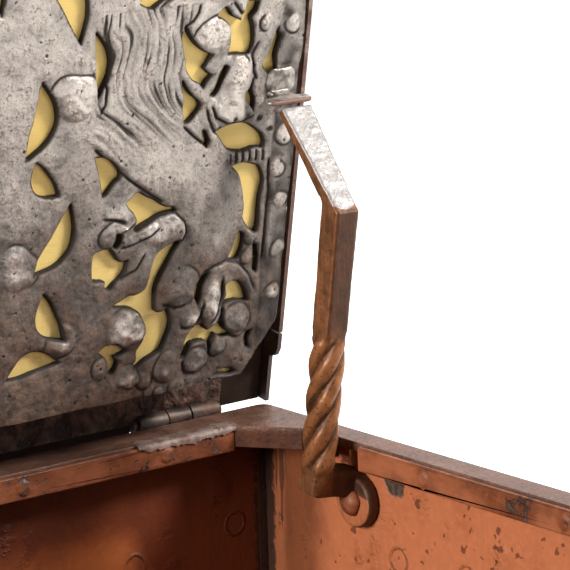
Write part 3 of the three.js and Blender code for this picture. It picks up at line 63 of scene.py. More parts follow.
# The photograph's camera, in metres and degrees.
VIEW_PLACE = (-0.6510, -1.0911, 0.7714)
VIEW_TURN = 37.46
VIEW_RISE = 12.21
VIEW_ROLL = -1.87
VIEW_LENS = 189.47
SENSOR = 36.0


def joint_place(name):
    """Where a joint's axis passes, in metres."""
    row = next(row for row in frame["record"]["behaviour"]["joints"] if row["name"] == name)
    return Vector(row["pos_m"])


# The lid's hinge axis and its angle when propped open, and the prop's pivot and lean.
HINGE = joint_place("lid_hinge")
LID_OPEN = math.radians(79.0)
PIVOT = joint_place("prop_pivot")
PROP_LEAN = math.radians(10.0)


def from_lid(points):
    """Lid frame millimetres (x, y to the rear, z outward) as metres of the shared frame."""
    points = np.asarray(points, float).reshape(-1, 3) * MM
    y, z = points[:, 1], points[:, 2]
    cos, sin = math.cos(LID_OPEN), math.sin(LID_OPEN)
    return np.stack([points[:, 0], HINGE.y + y * cos + z * sin, HINGE.z - y * sin + z * cos], 1)


def into_lid(points):
    points = np.asarray(points, float).reshape(-1, 3)
    y, z = points[:, 1] - HINGE.y, points[:, 2] - HINGE.z
    cos, sin = math.cos(LID_OPEN), math.sin(LID_OPEN)
    return np.stack([points[:, 0], y * cos - z * sin, y * sin + z * cos], 1) / MM


def from_prop(points, middle):
    """Prop frame millimetres (x, v to the rear, u along the shank) as metres of the shared frame."""
    points = np.asarray(points, float).reshape(-1, 3) * MM
    v, u = points[:, 1], points[:, 2]
    cos, sin = math.cos(PROP_LEAN), math.sin(PROP_LEAN)
    return np.stack([middle + points[:, 0], PIVOT.y + v * cos - u * sin, PIVOT.z + v * sin + u * cos], 1)


def corners_of(node):
    """A CAD node's corners, in metres."""
    data = frame["nodes"][node].data
    found = np.zeros(len(data.vertices) * 3, np.float32)
    data.vertices.foreach_get("co", found)
    return found.reshape(-1, 3).astype(float)


def triangles_of(node):
    data = frame["nodes"][node].data
    data.calc_loop_triangles()
    found = np.zeros(len(data.loop_triangles) * 3, np.int32)
    data.loop_triangles.foreach_get("vertices", found)
    return found.reshape(-1, 3)


# Sizes and colours


class StrongboxSizes(bpy.types.PropertyGroup):
    """Sizes of the pieces made here"""

    cover_cell: FloatProperty(
        name="Cover cell",
        description="Grid size of the lock cover, in millimetres",
        default=0.7,
        min=0.5, max=3.0,
    )
    cover_edge: FloatProperty(
        name="Edge fall",
        description="How far the cover falls at its openings, in millimetres",
        default=1.5,
        min=0.0,
    )
    cover_boss: FloatProperty(
        name="Boss height", description="Scale of the cover's bosses", default=1.0, min=0.0, max=1.5
    )
    twist_turn: FloatProperty(
        name="Twist",
        description="Turn of the prop's twisted length",
        default=math.radians(360.0),
        subtype="ANGLE",
    )
    twist_hollow: FloatProperty(
        name="Twist hollow",
        description="Depth of the groove between two turns, in millimetres",
        default=3.2,
        min=0.0,
    )
    edge_round: FloatProperty(
        name="Edge round", description="Rounding of the forged edges", default=0.0008, min=0.0, unit="LENGTH"
    )
    seed: IntProperty(name="Seed", description="Start of all surface noise", default=7, min=0)


def colour_property(name, description, default):
    return FloatVectorProperty(
        name=name, description=description, default=default, size=3, min=0.0, max=1.0, subtype="COLOR"
    )


class StrongboxColours(bpy.types.PropertyGroup):
    """Colours of the finishes"""

    paint: colour_property("Paint", "Red lead paint inside the box", (0.47, 0.150, 0.062))
    paint_stain: colour_property("Stained paint", "The same paint where it is stained", (0.235, 0.062, 0.020))
    iron: colour_property("Iron", "Bare forged iron", (0.060, 0.046, 0.040))
    rust: colour_property("Rust", "Rust on the iron", (0.150, 0.062, 0.030))
    rim: colour_property("Rim", "Worn paint on the rim", (0.205, 0.100, 0.066))
    prop: colour_property("Prop", "Brown skin of the prop", (0.270, 0.105, 0.040))
    steel: colour_property("Lock steel", "Bright parts of the lock cover", (0.600, 0.535, 0.480))
    brass: colour_property("Brass", "Sheet behind the lock cover", (1.0, 0.735, 0.262))


# Shader expressions


class Wire:
    """A shader socket that takes part in Python expressions."""

    def __init__(self, finish, socket):
        self.finish = finish
        self.socket = socket

    def math(self, operation, *others):
        return self.finish.node("ShaderNodeMath", {"operation": operation}, dict(enumerate((self, *others))))

    def __add__(self, other):
        return self.math("ADD", other)

    __radd__ = __add__

    def __sub__(self, other):
        return self.math("SUBTRACT", other)

    def __rsub__(self, other):
        return self.finish.node("ShaderNodeMath", {"operation": "SUBTRACT"}, {0: other, 1: self})

    def __mul__(self, other):
        return self.math("MULTIPLY", other)

    __rmul__ = __mul__

    def root(self):
        return self.math("SQRT")

    def absolute(self):
        return self.math("ABSOLUTE")

    def most(self, other):
        return self.math("MAXIMUM", other)

    def step(self, low, high):
        """0 below low and 1 above high, with a smooth rise between them."""
        values = {"Value": self, "From Min": low, "From Max": high}
        settings = {"interpolation_type": "SMOOTHSTEP"}
        return self.finish.node("ShaderNodeMapRange", settings, values, "Result")


class Finish:
    """The nodes of one material."""

    def __init__(self, name):
        self.material = bpy.data.materials.new(name)
        self.material.use_nodes = True
        self.tree = self.material.node_tree
        self.tree.nodes.clear()

    def node(self, kind, settings=None, values=None, output=0):
        """Adds a node; values are numbers, tuples or wires by socket name or number."""
        made = self.tree.nodes.new(kind)
        for name, value in (settings or {}).items():
            setattr(made, name, value)
        for name, value in (values or {}).items():
            socket = made.inputs[name]
            if isinstance(value, Wire):
                self.tree.links.new(value.socket, socket)
            else:
                socket.default_value = value
        return Wire(self, made.outputs[output])

    def place(self):
        return self.node("ShaderNodeTexCoord", output="Object")

    def stored(self, name):
        """A number kept with the mesh's points."""
        return self.node("ShaderNodeAttribute", {"attribute_name": name}, output="Fac")

    def axes(self, vector):
        split = self.node("ShaderNodeSeparateXYZ", None, {0: vector})
        return [Wire(self, output) for output in split.socket.node.outputs]

    def stretched(self, vector, scale):
        return self.node("ShaderNodeVectorMath", {"operation": "MULTIPLY"}, {0: vector, 1: scale})

    def noise(self, vector, scale, detail=3.0, rough=0.55, distort=0.0):
        values = {"Vector": vector, "Scale": scale, "Detail": detail, "Roughness": rough}
        values["Distortion"] = distort
        return self.node("ShaderNodeTexNoise", None, values)

    def noises(self, vector, *rows):
        """Several noises at once, each row with what noise() takes after the vector."""
        return [self.noise(vector, *row) for row in rows]

    def cells(self, vector, scale, feature="F1"):
        return self.node("ShaderNodeTexVoronoi", {"feature": feature}, {"Vector": vector, "Scale": scale})

    def blend(self, share, first, second):
        """Colour first where share is 0 and second where it is 1."""
        made = self.node("ShaderNodeMix", {"data_type": "RGBA"})
        node = made.socket.node
        for socket, value in zip((node.inputs[0], node.inputs[6], node.inputs[7]), (share, first, second)):
            if isinstance(value, Wire):
                self.tree.links.new(value.socket, socket)
            elif isinstance(value, (int, float)):
                socket.default_value = value
            else:
                socket.default_value = (*value, 1.0)
        return Wire(self, node.outputs[2])

    def bump(self, height, strength, distance):
        values = {"Height": height, "Strength": strength, "Distance": distance}
        return self.node("ShaderNodeBump", None, values)

    def surface(self, colour, roughness, metallic, normal=None, **constants):
        """Ends the material in a Principled shader; constants are its other sockets by name."""
        values = {"Base Color": colour, "Roughness": roughness, "Metallic": metallic}
        if isinstance(colour, tuple):
            values["Base Color"] = (*colour, 1.0)
        if normal is not None:
            values["Normal"] = normal
        values.update(constants)
        shader = self.node("ShaderNodeBsdfPrincipled", None, values)
        end = self.tree.nodes.new("ShaderNodeOutputMaterial")
        self.tree.links.new(shader.socket, end.inputs["Surface"])
        return self.material


# Finishes


SHINE = "Specular IOR Level"


def shaded(colour, share):
    """A colour made darker or lighter, as a tuple."""
    return tuple(min(1.0, channel * share) for channel in colour)


def outer_mask(f, at):
    """1 on the outside of the box's walls and 0 inside."""
    x, y, _ = f.axes(at)
    low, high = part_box("right_wall")
    side = x.absolute().step(low.x + 0.0012, high.x - 0.0012)
    low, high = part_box("rear_wall")
    end = y.absolute().step(low.y + 0.0012, high.y - 0.0012)
    return side.most(end)


def away_from(first, second, a, b):
    """Distance of a point, given by two of its coordinates, from the place (a, b)."""
    da, db = first - a, second - b
    return (da * da + db * db).root()


def iron_skin(f, at, look):
    """Colour, roughness, metallic share, bump and fine noise of dark iron with patches of rust."""
    broad, fine, specks = f.noises(at, (7.0, 4.0, 0.6), (60.0, 5.0, 0.65), (420.0, 2.0, 0.5))
    rust = (broad * 0.6 + fine * 0.55).step(0.48, 0.72)
    dark = f.blend(fine.step(0.3, 0.7), shaded(look.iron, 0.6), shaded(look.iron, 1.5))
    brown = f.blend(specks.step(0.35, 0.65), shaded(look.rust, 0.6), shaded(look.rust, 1.25))
    rough = 0.44 + rust * 0.28 + specks * 0.08
    dents = f.cells(at, 34.0, "SMOOTH_F1")
    normal = f.bump(dents * 0.5 + fine * 0.35 + specks * 0.06, 0.6, 0.0018)
    return f.blend(rust, dark, brown), rough, 0.8 - rust * 0.6, normal, fine


def forged_iron(look):
    f = Finish("forged_iron")
    colour, rough, metallic, normal, _ = iron_skin(f, f.place(), look)
    return f.surface(colour, rough, metallic, normal)


def lid_edge_iron(_look):
    """Worn brown iron of the lid's turned down edges, barer toward the lid's front, with painted shade toward
    the hinges.
    """
    f = Finish("lid_edge_iron")
    at = f.place()
    _, _, z = f.axes(at)
    broad, fine, specks = f.noises(at, (14.0, 4.0, 0.6), (90.0, 5.0, 0.65), (420.0, 2.0, 0.5))
    tone = (broad * 0.55 + fine * 0.5).step(0.36, 0.72)
    colour = f.blend(tone, (0.085, 0.040, 0.026), (0.235, 0.135, 0.098))
    bare = (fine * 0.6 + specks * 0.3 + z.step(0.42, 0.62) * 0.22).step(0.56, 0.78)
    colour = f.blend(bare * 0.7, colour, (0.400, 0.330, 0.285))
    colour = f.blend(specks.step(0.60, 0.70) * 0.7, colour, (0.030, 0.015, 0.011))
    # painted shade: the edges turn nearly black toward their ends by the hinges
    low = 1.0 - (z + (broad - 0.5) * 0.03).step(0.388, 0.432)
    colour = f.blend(low * 0.80, colour, (0.020, 0.011, 0.008))
    normal = f.bump(fine * 0.5 + broad * 0.4 + specks * 0.15, 0.6, 0.0016)
    return f.surface(colour, 0.44 + fine * 0.2, 0.25 + bare * 0.3 - low * 0.2, normal)


def lid_plate_iron(look):
    """Forged iron, painted black as shade on the side that the lock sits on."""
    f = Finish("lid_plate_iron")
    at = f.place()
    _, y, z = f.axes(at)
    colour, rough, metallic, normal, fine = iron_skin(f, at, look)
    inward = (y - HINGE.y) * math.sin(LID_OPEN) + (z - HINGE.z) * math.cos(LID_OPEN)
    # painted shade: the lock side of the plate is nearly black
    lock_side_shade = 1.0 - inward.step(0.0002, 0.0008)
    colour = f.blend(lock_side_shade * 0.93, colour, f.blend(fine, (0.008, 0.005, 0.004), (0.035, 0.018, 0.012)))
    return f.surface(colour, rough + lock_side_shade * 0.40, metallic * (1.0 - lock_side_shade), normal, **{SHINE: 0.15})


# Rivets painted over: whether on the side wall, place along the wall, height and radius, in metres.
PAINTED_RIVETS = [
    (True, 0.0653, 0.2981, 0.0066), (False, 0.2825, 0.2980, 0.0062),
    (False, 0.2153, 0.2877, 0.0066), (True, 0.0110, 0.3010, 0.0060),
]
# Where the paint came off the side wall, along it and up, in metres.
BARE_SPOT = (0.0685, 0.3395)
# How far out the side walls' paint lies and how far back its corner line runs, in metres.
SIDE_PAINT = (0.2985, 0.2995)
CORNER_LINE = (0.1700, 0.1728)


def red_paint(look):
    """Red lead on the inside of the walls, stained and chipped, with iron on their outside."""
    f = Finish("red_paint")
    at = f.place()
    x, y, z = f.axes(at)
    broad = f.noise(at, 5.0, 4.0, 0.55)
    runs = f.noise(f.stretched(at, (1.0, 1.0, 0.16)), 60.0, 4.0, 0.6)
    patchy, fine = f.noises(at, (30.0, 6.0, 0.62, 0.4), (230.0, 4.0, 0.6))
    top = z.step(0.300, 0.352)
    stain = (broad * 0.5 + patchy * 0.4 + runs * 0.2).step(0.45, 0.74)
    paint = f.blend(stain, tuple(look.paint), tuple(look.paint_stain))
    paint = f.blend(fine.step(0.42, 0.72) * 0.35, paint, shaded(look.paint, 1.30))
    spots = (f.noise(at, 150.0, 2.0, 0.5) + patchy * 0.25).step(0.770, 0.815)
    paint = f.blend(spots * 0.75, paint, (0.085, 0.026, 0.012))
    # painted light and shade: the side wall is painted darker toward the corner as a shadow; the rear wall is
    # painted dark as shade, with a painted pool of light low down toward its middle
    side = x.absolute().step(*SIDE_PAINT)
    # painted shadow on the side wall toward the corner
    near = (y.absolute() + (patchy - 0.5) * 0.030).step(0.112, 0.150)
    near = near * (1.0 - (y.absolute() + (patchy - 0.5) * 0.010).step(0.158, 0.166) * 0.6)
    shade = f.blend(runs.step(0.4, 0.7), (0.150, 0.044, 0.015), (0.070, 0.020, 0.009))
    paint = f.blend(near * side * 0.80, paint, shade)
    rear_light_and_shade = f.blend(stain, (0.125, 0.024, 0.006), (0.060, 0.011, 0.004))
    # painted pool of light: the rear wall is lighter low down toward its middle
    painted_light_patch = (x.absolute() + (z - 0.300) * 0.5 + (patchy - 0.5) * 0.03).step(0.200, 0.222)
    painted_light_patch = (1.0 - painted_light_patch) * (1.0 - (z + (patchy - 0.5) * 0.02).step(0.292, 0.318))
    rear_light_and_shade = f.blend(painted_light_patch, rear_light_and_shade, f.blend(stain, (0.330, 0.090, 0.024), (0.190, 0.042, 0.010)))
    paint = f.blend(1.0 - side, paint, rear_light_and_shade)
    # drips of black from the rim and a dirty line down each corner
    drips = f.noise(f.stretched(at, (1.0, 1.0, 0.10)), 130.0, 3.0, 0.6)
    reach = (drips - 0.42) * 0.17
    hang = (z - 0.346 + reach).step(-0.003, 0.003) * y.absolute().step(0.118, 0.140)
    hang = hang * drips.step(0.52, 0.62) * side * 0.8
    ragged = (patchy - 0.5) * 0.020 + (fine - 0.5) * 0.016 + (runs - 0.5) * 0.016
    seam = (x.absolute() + ragged).step(0.2940, 0.2985) * (1.0 - side)
    line = (y.absolute() + (patchy - 0.5) * 0.012 + (fine - 0.5) * 0.006).step(*CORNER_LINE) * side
    dirt = hang.most(seam * 0.95).most(line)
    paint = f.blend(dirt * 0.9, paint, (0.018, 0.009, 0.006))
    # bare iron where the paint came off
    bare = away_from(y, z, *BARE_SPOT) + (patchy - 0.5) * 0.020
    bare = (1.0 - bare.step(0.0075, 0.0100)) * side
    chips = (patchy * 0.75 + fine * 0.35 + top * 0.02).step(0.830, 0.845)
    metal = f.blend(fine.step(0.3, 0.7), (0.045, 0.030, 0.024), (0.150, 0.100, 0.078))
    colour = f.blend(chips.most(bare), paint, metal)
    # outlines of rivets painted over
    rings = None
    for on_side, across, up, radius in PAINTED_RIVETS:
        axis, wall = (y, side) if on_side else (x, 1.0 - side)
        gap = away_from(axis, z, across, up) + (patchy - 0.5) * 0.0048 + (fine - 0.5) * 0.0016
        ring = (1.0 - (gap - radius).absolute().step(0.0003, 0.0013)) * wall
        rings = ring if rings is None else rings.most(ring)
    colour = f.blend(rings * fine.step(0.35, 0.6) * 0.6, colour, (0.050, 0.016, 0.008))
    outside = outer_mask(f, at)
    rusty = (patchy * 0.6 + broad * 0.3 + fine * 0.4).step(0.56, 0.86)
    iron = f.blend(rusty * 0.75, shaded(look.iron, 0.8), shaded(look.rust, 0.72))
    colour = f.blend(outside, colour, iron)
    blister = 1.0 - f.cells(f.stretched(at, (1.0, 1.0, 0.45)), 62.0, "SMOOTH_F1").step(0.05, 0.40)
    blister = blister * patchy.step(0.50, 0.62)
    height = fine * 0.16 + patchy * 0.45 + blister * 0.9 + runs * 0.4 - chips * 0.5 + rings * 0.5 - bare * 0.5
    normal = f.bump(height, 0.7, 0.0022)
    rough = 0.40 + fine * 0.25 + dirt * 0.30
    return f.surface(colour, rough, bare * 0.4 + outside * 0.3, normal, **{SHINE: 0.30})


def strip_paint(look):
    """Browner and more worn paint of the strips under the rim."""
    f = Finish("strip_paint")
    at = f.place()
    _, y, _ = f.axes(at)
    patchy = f.noise(at, 34.0, 6.0, 0.62, 0.4)
    runs = f.noise(f.stretched(at, (0.3, 0.3, 1.0)), 90.0, 4.0, 0.6)
    fine = f.noise(at, 240.0, 4.0, 0.6)
    tone = (patchy * 0.6 + runs * 0.5).step(0.42, 0.70)
    colour = f.blend(tone, shaded(look.paint, 0.72), shaded(look.paint_stain, 0.55))
    # painted shade: the strips are darker toward the rear
    colour = f.blend(y.step(0.150, 0.168) * 0.45, colour, (0.050, 0.012, 0.004))
    metal = (patchy * 0.7 + fine * 0.38).step(0.640, 0.665)
    colour = f.blend(metal, colour, (0.055, 0.036, 0.028))
    pale = (patchy * 0.3 + fine * 0.6 + runs * 0.2).step(0.62, 0.72)
    colour = f.blend(pale * 0.30, colour, (0.420, 0.220, 0.140))
    outside = outer_mask(f, at)
    iron = f.blend(patchy.step(0.42, 0.62), shaded(look.iron, 0.8), shaded(look.rust, 0.6))
    colour = f.blend(outside, colour, iron)
    normal = f.bump(fine * 0.3 + patchy * 0.8 + runs * 0.4 - metal * 0.4, 0.7, 0.0018)
    return f.surface(colour, 0.40 + fine * 0.25, metal * 0.5, normal, **{SHINE: 0.35})


# Between these heights the rim's leg goes over into its top, in metres.
RIM_LEG_TOP = (0.3560, 0.3596)


def rim_metal(look):
    f = Finish("rim_metal")
    at = f.place()
    _, _, z = f.axes(at)
    broad, fine = f.noises(at, (9.0, 4.0, 0.6), (110.0, 4.0, 0.6))
    scratch = f.noise(f.stretched(at, (1.0, 5.0, 5.0)), 130.0, 3.0, 0.6)
    specks = f.noise(at, 520.0, 2.0, 0.5)
    tone = (broad * 0.6 + fine * 0.35 + scratch * 0.2).step(0.42, 0.76)
    colour = f.blend(tone, shaded(look.rim, 0.50), shaded(look.rim, 1.30))
    worn = (broad * 0.5 + scratch * 0.6).step(0.60, 0.70)
    colour = f.blend(worn * 0.55, colour, (0.300, 0.215, 0.170))
    # the leg under the rim's edge is darker and redder than the top
    leg = 1.0 - z.step(*RIM_LEG_TOP)
    colour = f.blend(leg * 0.92, colour, f.blend(tone, (0.045, 0.013, 0.005), (0.140, 0.042, 0.016)))
    colour = f.blend(specks.step(0.62, 0.72) * 0.7, colour, (0.028, 0.014, 0.010))
    dents = f.cells(at, 52.0, "SMOOTH_F1")
    normal = f.bump(fine * 0.80 + broad * 0.5 + specks * 0.16 + dents * 0.6, 0.75, 0.0020)
    rough = 0.40 + fine * 0.22 + leg * 0.15
    return f.surface(colour, rough, 0.22 + worn * 0.2 - leg * 0.2, normal, **{SHINE: 0.34})


def prop_skin(look):
    """Brown forged skin, bare steel where "polish" is stored, wall paint where "painted" is; painted
    highlights on the twist's ridges and painted shade in its grooves, on the shank's front face and on the
    arm.
    """
    f = Finish("prop_skin")
    at = f.place()
    broad, fine = f.noises(at, (26.0, 4.0, 0.6), (130.0, 4.0, 0.6))
    streaks = f.noise(f.stretched(at, (5.0, 5.0, 0.6)), 90.0, 4.0, 0.65)
    grain = f.noise(f.stretched(at, (9.0, 9.0, 1.0)), 120.0, 3.0, 0.6)
    specks = f.noise(at, 600.0, 2.0, 0.5)
    tone = (broad * 0.55 + fine * 0.30 + streaks * 0.30).step(0.42, 0.72)
    colour = f.blend(tone, shaded(look.prop, 0.24), shaded(look.prop, 1.00))
    colour = f.blend(streaks.step(0.55, 0.72) * 0.45, colour, (0.050, 0.018, 0.009))
    # painted highlight on the twist's ridges and painted shade in its grooves
    ridge = f.stored("ridge")
    colour = f.blend((ridge * 0.8 + fine * 0.6 - 0.35).step(0.25, 0.85) * 0.50, colour, (0.450, 0.175, 0.066))
    colour = f.blend(f.stored("groove") * 0.92, colour, (0.028, 0.010, 0.005))
    colour = f.blend(specks.step(0.58, 0.72) * 0.7, colour, (0.035, 0.014, 0.008))
    # painted shade on the shank's front face and on the arm
    colour = f.blend(f.stored("front") * 0.74, colour, (0.045, 0.016, 0.007))
    dark = f.stored("dark") * (0.72 + (fine - 0.5) * 0.5)
    colour = f.blend(dark, colour, (0.026, 0.009, 0.005))
    paint = f.blend(tone, shaded(look.paint, 0.55), shaded(look.paint, 1.0))
    painted = (f.stored("painted") + (fine - 0.5) * 0.3).step(0.35, 0.65)
    colour = f.blend(painted * 0.9, colour, paint)
    polish = (f.stored("polish") + (fine - 0.5) * 0.35).step(0.35, 0.65)
    bright = f.blend(grain.step(0.30, 0.66), (0.275, 0.253, 0.242), (0.355, 0.333, 0.322))
    grime = (specks * 0.5 + streaks * 0.3 + fine * 0.3).step(0.58, 0.70)
    bright = f.blend(grime * 0.42, bright, (0.15, 0.105, 0.085))
    colour = f.blend(polish, colour, bright)
    normal = f.bump(fine * 0.5 + broad * 0.3 + specks * 0.12 + streaks * 0.3, 0.5, 0.0013)
    rough = 0.42 + fine * 0.20 - polish * 0.08 - ridge * 0.18
    metallic = 0.28 + polish * 0.05 - painted * 0.25
    return f.surface(colour, rough, metallic, normal, **{SHINE: 0.36})


def chased_steel(look):
    """Worn lock cover: dark in its hollows, with painted shade at its cut edges, under its creases and in the
    shaded places, painted highlights on its raised parts and painted light toward its top.
    """
    f = Finish("chased_steel")
    at = f.place()
    _, _, z = f.axes(at)
    broad, middle, fine, specks = f.noises(
        at, (11.0, 4.0, 0.6), (48.0, 5.0, 0.62, 0.8), (170.0, 5.0, 0.65), (420.0, 2.0, 0.5)
    )
    dots = 1.0 - f.cells(at, 95.0).step(0.055, 0.115)
    dots = dots * f.noise(at, 37.0, 1.0, 0.5).step(0.44, 0.52)
    raised = f.stored("raised")
    hollow = f.stored("hollow")
    # painted light: the upper part is lighter; it also has less rust
    upper = (z + (broad - 0.5) * 0.16).step(0.395, 0.560)
    grit = f.noise(at, 640.0, 3.0, 0.6)
    tone = (middle * 0.55 + fine * 0.55 + grit * 0.30 + raised * 0.22 + upper * 0.27).step(0.68, 1.18)
    colour = f.blend(tone, shaded(look.steel, 0.20), shaded(look.steel, 0.98))
    # painted highlight on the raised parts
    sheen = (raised * 0.45 + fine * 0.7 + middle * 0.4 + grit * 0.3).step(1.00, 1.45)
    colour = f.blend(sheen * 0.68, colour, shaded(look.steel, 1.42))
    speckle = (grit * 0.45 + fine * 0.45 + middle * 0.25).step(0.58, 0.70)
    colour = f.blend(speckle * 0.70, colour, (0.075, 0.042, 0.029))
    # more rust toward the hinges, as on the real one
    low = 1.0 - upper
    rust = (broad * 0.35 + specks * 0.25 + middle * 0.45 + low * 0.21 - raised * 0.14).step(0.51, 0.81)
    brown = f.blend(fine.step(0.35, 0.65), (0.036, 0.016, 0.009), (0.200, 0.112, 0.068))
    colour = f.blend(rust * 0.76, colour, brown)
    # raised parts low down are worn bright, partly as a painted highlight
    rubbed_and_highlit = (raised - 0.35).step(0.05, 0.45) * low * fine.step(0.40, 0.65)
    colour = f.blend(rubbed_and_highlit * 0.7, colour, shaded(look.steel, 1.2))
    # dark patina in the hollows, and painted shade on the cut walls, along the creases, at the cut edges and
    # in the shaded places
    deep = (hollow * 1.10 + fine * 0.35 + middle * 0.2 - 0.28).step(0.10, 0.76)
    colour = f.blend(deep, colour, (0.020, 0.012, 0.009))
    colour = f.blend(dots * 0.9, colour, (0.022, 0.013, 0.010))
    height = fine * 0.55 + specks * 0.20 + grit * 0.12 + middle * 0.60 - dots * 0.35
    normal = f.bump(height, 0.8, 0.0017)
    rough = 0.37 + fine * 0.20 + rust * 0.18 + hollow * 0.2 - raised * 0.16
    return f.surface(colour, rough, 0.62 - rust * 0.36 - hollow * 0.4, normal)


def lock_steel(look):
    f = Finish("lock_steel")
    at = f.place()
    broad, fine, specks = f.noises(at, (10.0, 4.0, 0.6), (120.0, 5.0, 0.65), (330.0, 2.0, 0.5))
    tone = (broad * 0.6 + fine * 0.5).step(0.36, 0.74)
    colour = f.blend(tone, shaded(look.steel, 0.22), shaded(look.steel, 0.65))
    rust = (broad * 0.5 + specks * 0.55).step(0.54, 0.68)
    colour = f.blend(rust * 0.8, colour, shaded(look.rust, 0.6))
    normal = f.bump(fine * 0.5 + specks * 0.2, 0.5, 0.0010)
    return f.surface(colour, 0.36 + fine * 0.25 + rust * 0.2, 0.85 - rust * 0.4, normal)


def catch_steel(look):
    """Bright worn steel of the catch, rusty at its front edge."""
    f = Finish("catch_steel")
    at = f.place()
    middle, fine = f.noises(at, (75.0, 4.0, 0.6, 0.5), (260.0, 4.0, 0.6))
    tone = (middle * 0.6 + fine * 0.5).step(0.40, 0.68)
    colour = f.blend(tone, shaded(look.steel, 0.18), shaded(look.steel, 0.80))
    rust = (f.stored("front") * 0.35 + middle * 0.55 + fine * 0.2).step(0.55, 0.72)
    colour = f.blend(rust * 0.85, colour, (0.165, 0.062, 0.034))
    normal = f.bump(fine * 0.4 + middle * 0.7, 0.6, 0.0011)
    return f.surface(colour, 0.30 + fine * 0.2 + rust * 0.2, 0.75 - rust * 0.5, normal)


def brass_leaf(look):
    f = Finish("brass_leaf")
    at = f.place()
    lines = f.noise(f.stretched(at, (1.0, 16.0, 16.0)), 60.0, 3.0, 0.6)
    crease = f.noise(f.stretched(at, (1.0, 0.35, 0.35)), 70.0, 4.0, 0.6, 1.2)
    broad = f.noise(at, 14.0, 4.0, 0.55)
    colour = f.blend(broad.step(0.35, 0.7), shaded(look.brass, 0.88), shaded(look.brass, 1.04))
    colour = f.blend(lines.step(0.55, 0.75) * 0.22, colour, (0.620, 0.420, 0.130))
    colour = f.blend(crease.step(0.62, 0.80) * 0.40, colour, (0.460, 0.300, 0.090))
    # painted shade: the brass is darker and yellower toward the top
    upper = f.axes(at)[2].step(0.430, 0.520)
    colour = f.blend(upper * 0.42, colour, (0.500, 0.285, 0.040))
    normal = f.bump(lines * 0.5 + crease, 0.35, 0.0009)
    return f.surface(colour, 0.44 + lines * 0.12, 0.18, normal)


def rusty_scale(_look):
    """Thick brown scale on the lumps between the lock and the hinges, with painted highlights on the raised
    ones.
    """
    f = Finish("rusty_scale")
    at = f.place()
    broad, fine = f.noises(at, (52.0, 4.0, 0.55, 0.3), (190.0, 4.0, 0.6))
    tone = (broad * 0.7 + fine * 0.4 + f.stored("raised") * 0.12).step(0.46, 0.74)
    colour = f.blend(tone, (0.022, 0.011, 0.008), (0.150, 0.080, 0.054))
    # painted highlight on the raised lumps
    bright = (f.stored("raised") * 0.3 + fine * 0.4 + broad * 0.6).step(0.78, 0.98)
    colour = f.blend(bright * 0.75, colour, (0.420, 0.355, 0.310))
    normal = f.bump(fine * 0.22 + broad * 1.1, 0.9, 0.0060)
    return f.surface(colour, 0.42 + fine * 0.25, 0.40 + bright * 0.3, normal)


def torn_metal(_look):
    """Bare, bent sheet metal at the hinge leaf's edge."""
    f = Finish("torn_metal")
    at = f.place()
    broad, fine = f.noises(at, (45.0, 4.0, 0.6, 0.6), (190.0, 4.0, 0.6))
    tone = (broad * 0.6 + fine * 0.5).step(0.42, 0.70)
    colour = f.blend(tone, (0.120, 0.068, 0.052), (0.330, 0.245, 0.208))
    colour = f.blend((fine * 0.7 + broad * 0.4).step(0.62, 0.70) * 0.8, colour, (0.040, 0.022, 0.016))
    normal = f.bump(fine * 0.5 + broad * 0.7, 0.7, 0.0018)
    return f.surface(colour, 0.50 + fine * 0.22, 0.15, normal)


FINISH_OF_SLOT = {
    "iron": forged_iron,
    "red_lead": red_paint,
    "rim_iron": rim_metal,
    "prop_iron": prop_skin,
    "steel": lock_steel,
    "brass": brass_leaf,
}
MADE = {}


def finish(maker):
    """The material of a finish, made once."""
    if maker.__name__ not in MADE:
        MADE[maker.__name__] = maker(bpy.context.scene.strongbox_colours)
    return MADE[maker.__name__]


# Mesh helpers


def add_object(name, data):
    made = bpy.data.objects.new(name, data)
    bpy.context.scene.collection.objects.link(made)
    return made


def new_piece(name, points, faces, material, body, smooth, masks=None):
    """A mesh piece that rides on a body; points are metres of the shared frame."""
    mesh = bpy.data.meshes.new(name)
    mesh.from_pydata([tuple(point) for point in points], [], [tuple(face) for face in faces])
    mesh.validate()
    mesh.polygons.foreach_set("use_smooth", np.ones(len(mesh.polygons), bool))
    for key, values in (masks or {}).items():
        stored = mesh.attributes.new(key, "FLOAT", "POINT")
        stored.data.foreach_set("value", np.asarray(values, np.float32))
    mesh.set_sharp_from_angle(angle=math.radians(smooth))
    mesh.materials.append(material)
    piece = add_object(name, mesh)
    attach(piece, body)
    return piece


def noise_at(points, scale, seed):
    """Smooth noise from about -1 to 1 at each point; scale is the size of its forms."""
    shift = Vector((seed * 3.7, seed * 1.3, seed * 2.1))
    return np.array([noise.noise(Vector(point) / scale + shift) for point in points])


def step(values, low, high):
    share = np.clip((np.asarray(values, float) - low) / (high - low), 0.0, 1.0)
    return share * share * (3.0 - 2.0 * share)


def window(values, low, low_end, high, high_end):
    """1 between low_end and high, and 0 below low and above high_end."""
    return step(values, low, low_end) * (1 - step(values, high, high_end))


def bell(gap, width):
    """1 where the gap is 0, and near 0 from twice the width on."""
    return np.exp(-((gap / width) ** 2))


def oval(x, s, middle_x, middle_s, half_x, half_s):
    """Distance from an oval's middle, 1 on the oval itself."""
    return np.hypot((x - middle_x) / half_x, (s - middle_s) / half_s)


def distance_tree(points):
    tree = kdtree.KDTree(len(points))
    for i, (x, y) in enumerate(points):
        tree.insert((x, y, 0.0), i)
    tree.balance()
    return tree


def boundary_loops(edges):
    """Closed loops of directed edges, as lists of corner numbers."""
    following = {}
    for a, b in edges:
        following.setdefault(a, []).append(b)
    loops = []
    while following:
        first = next(iter(following))
        loop = [first]
        while True:
            options = following[loop[-1]]
            ahead = options.pop()
            if not options:
                del following[loop[-1]]
            if ahead == first:
                break
            loop.append(ahead)
        loops.append(loop)
    return loops


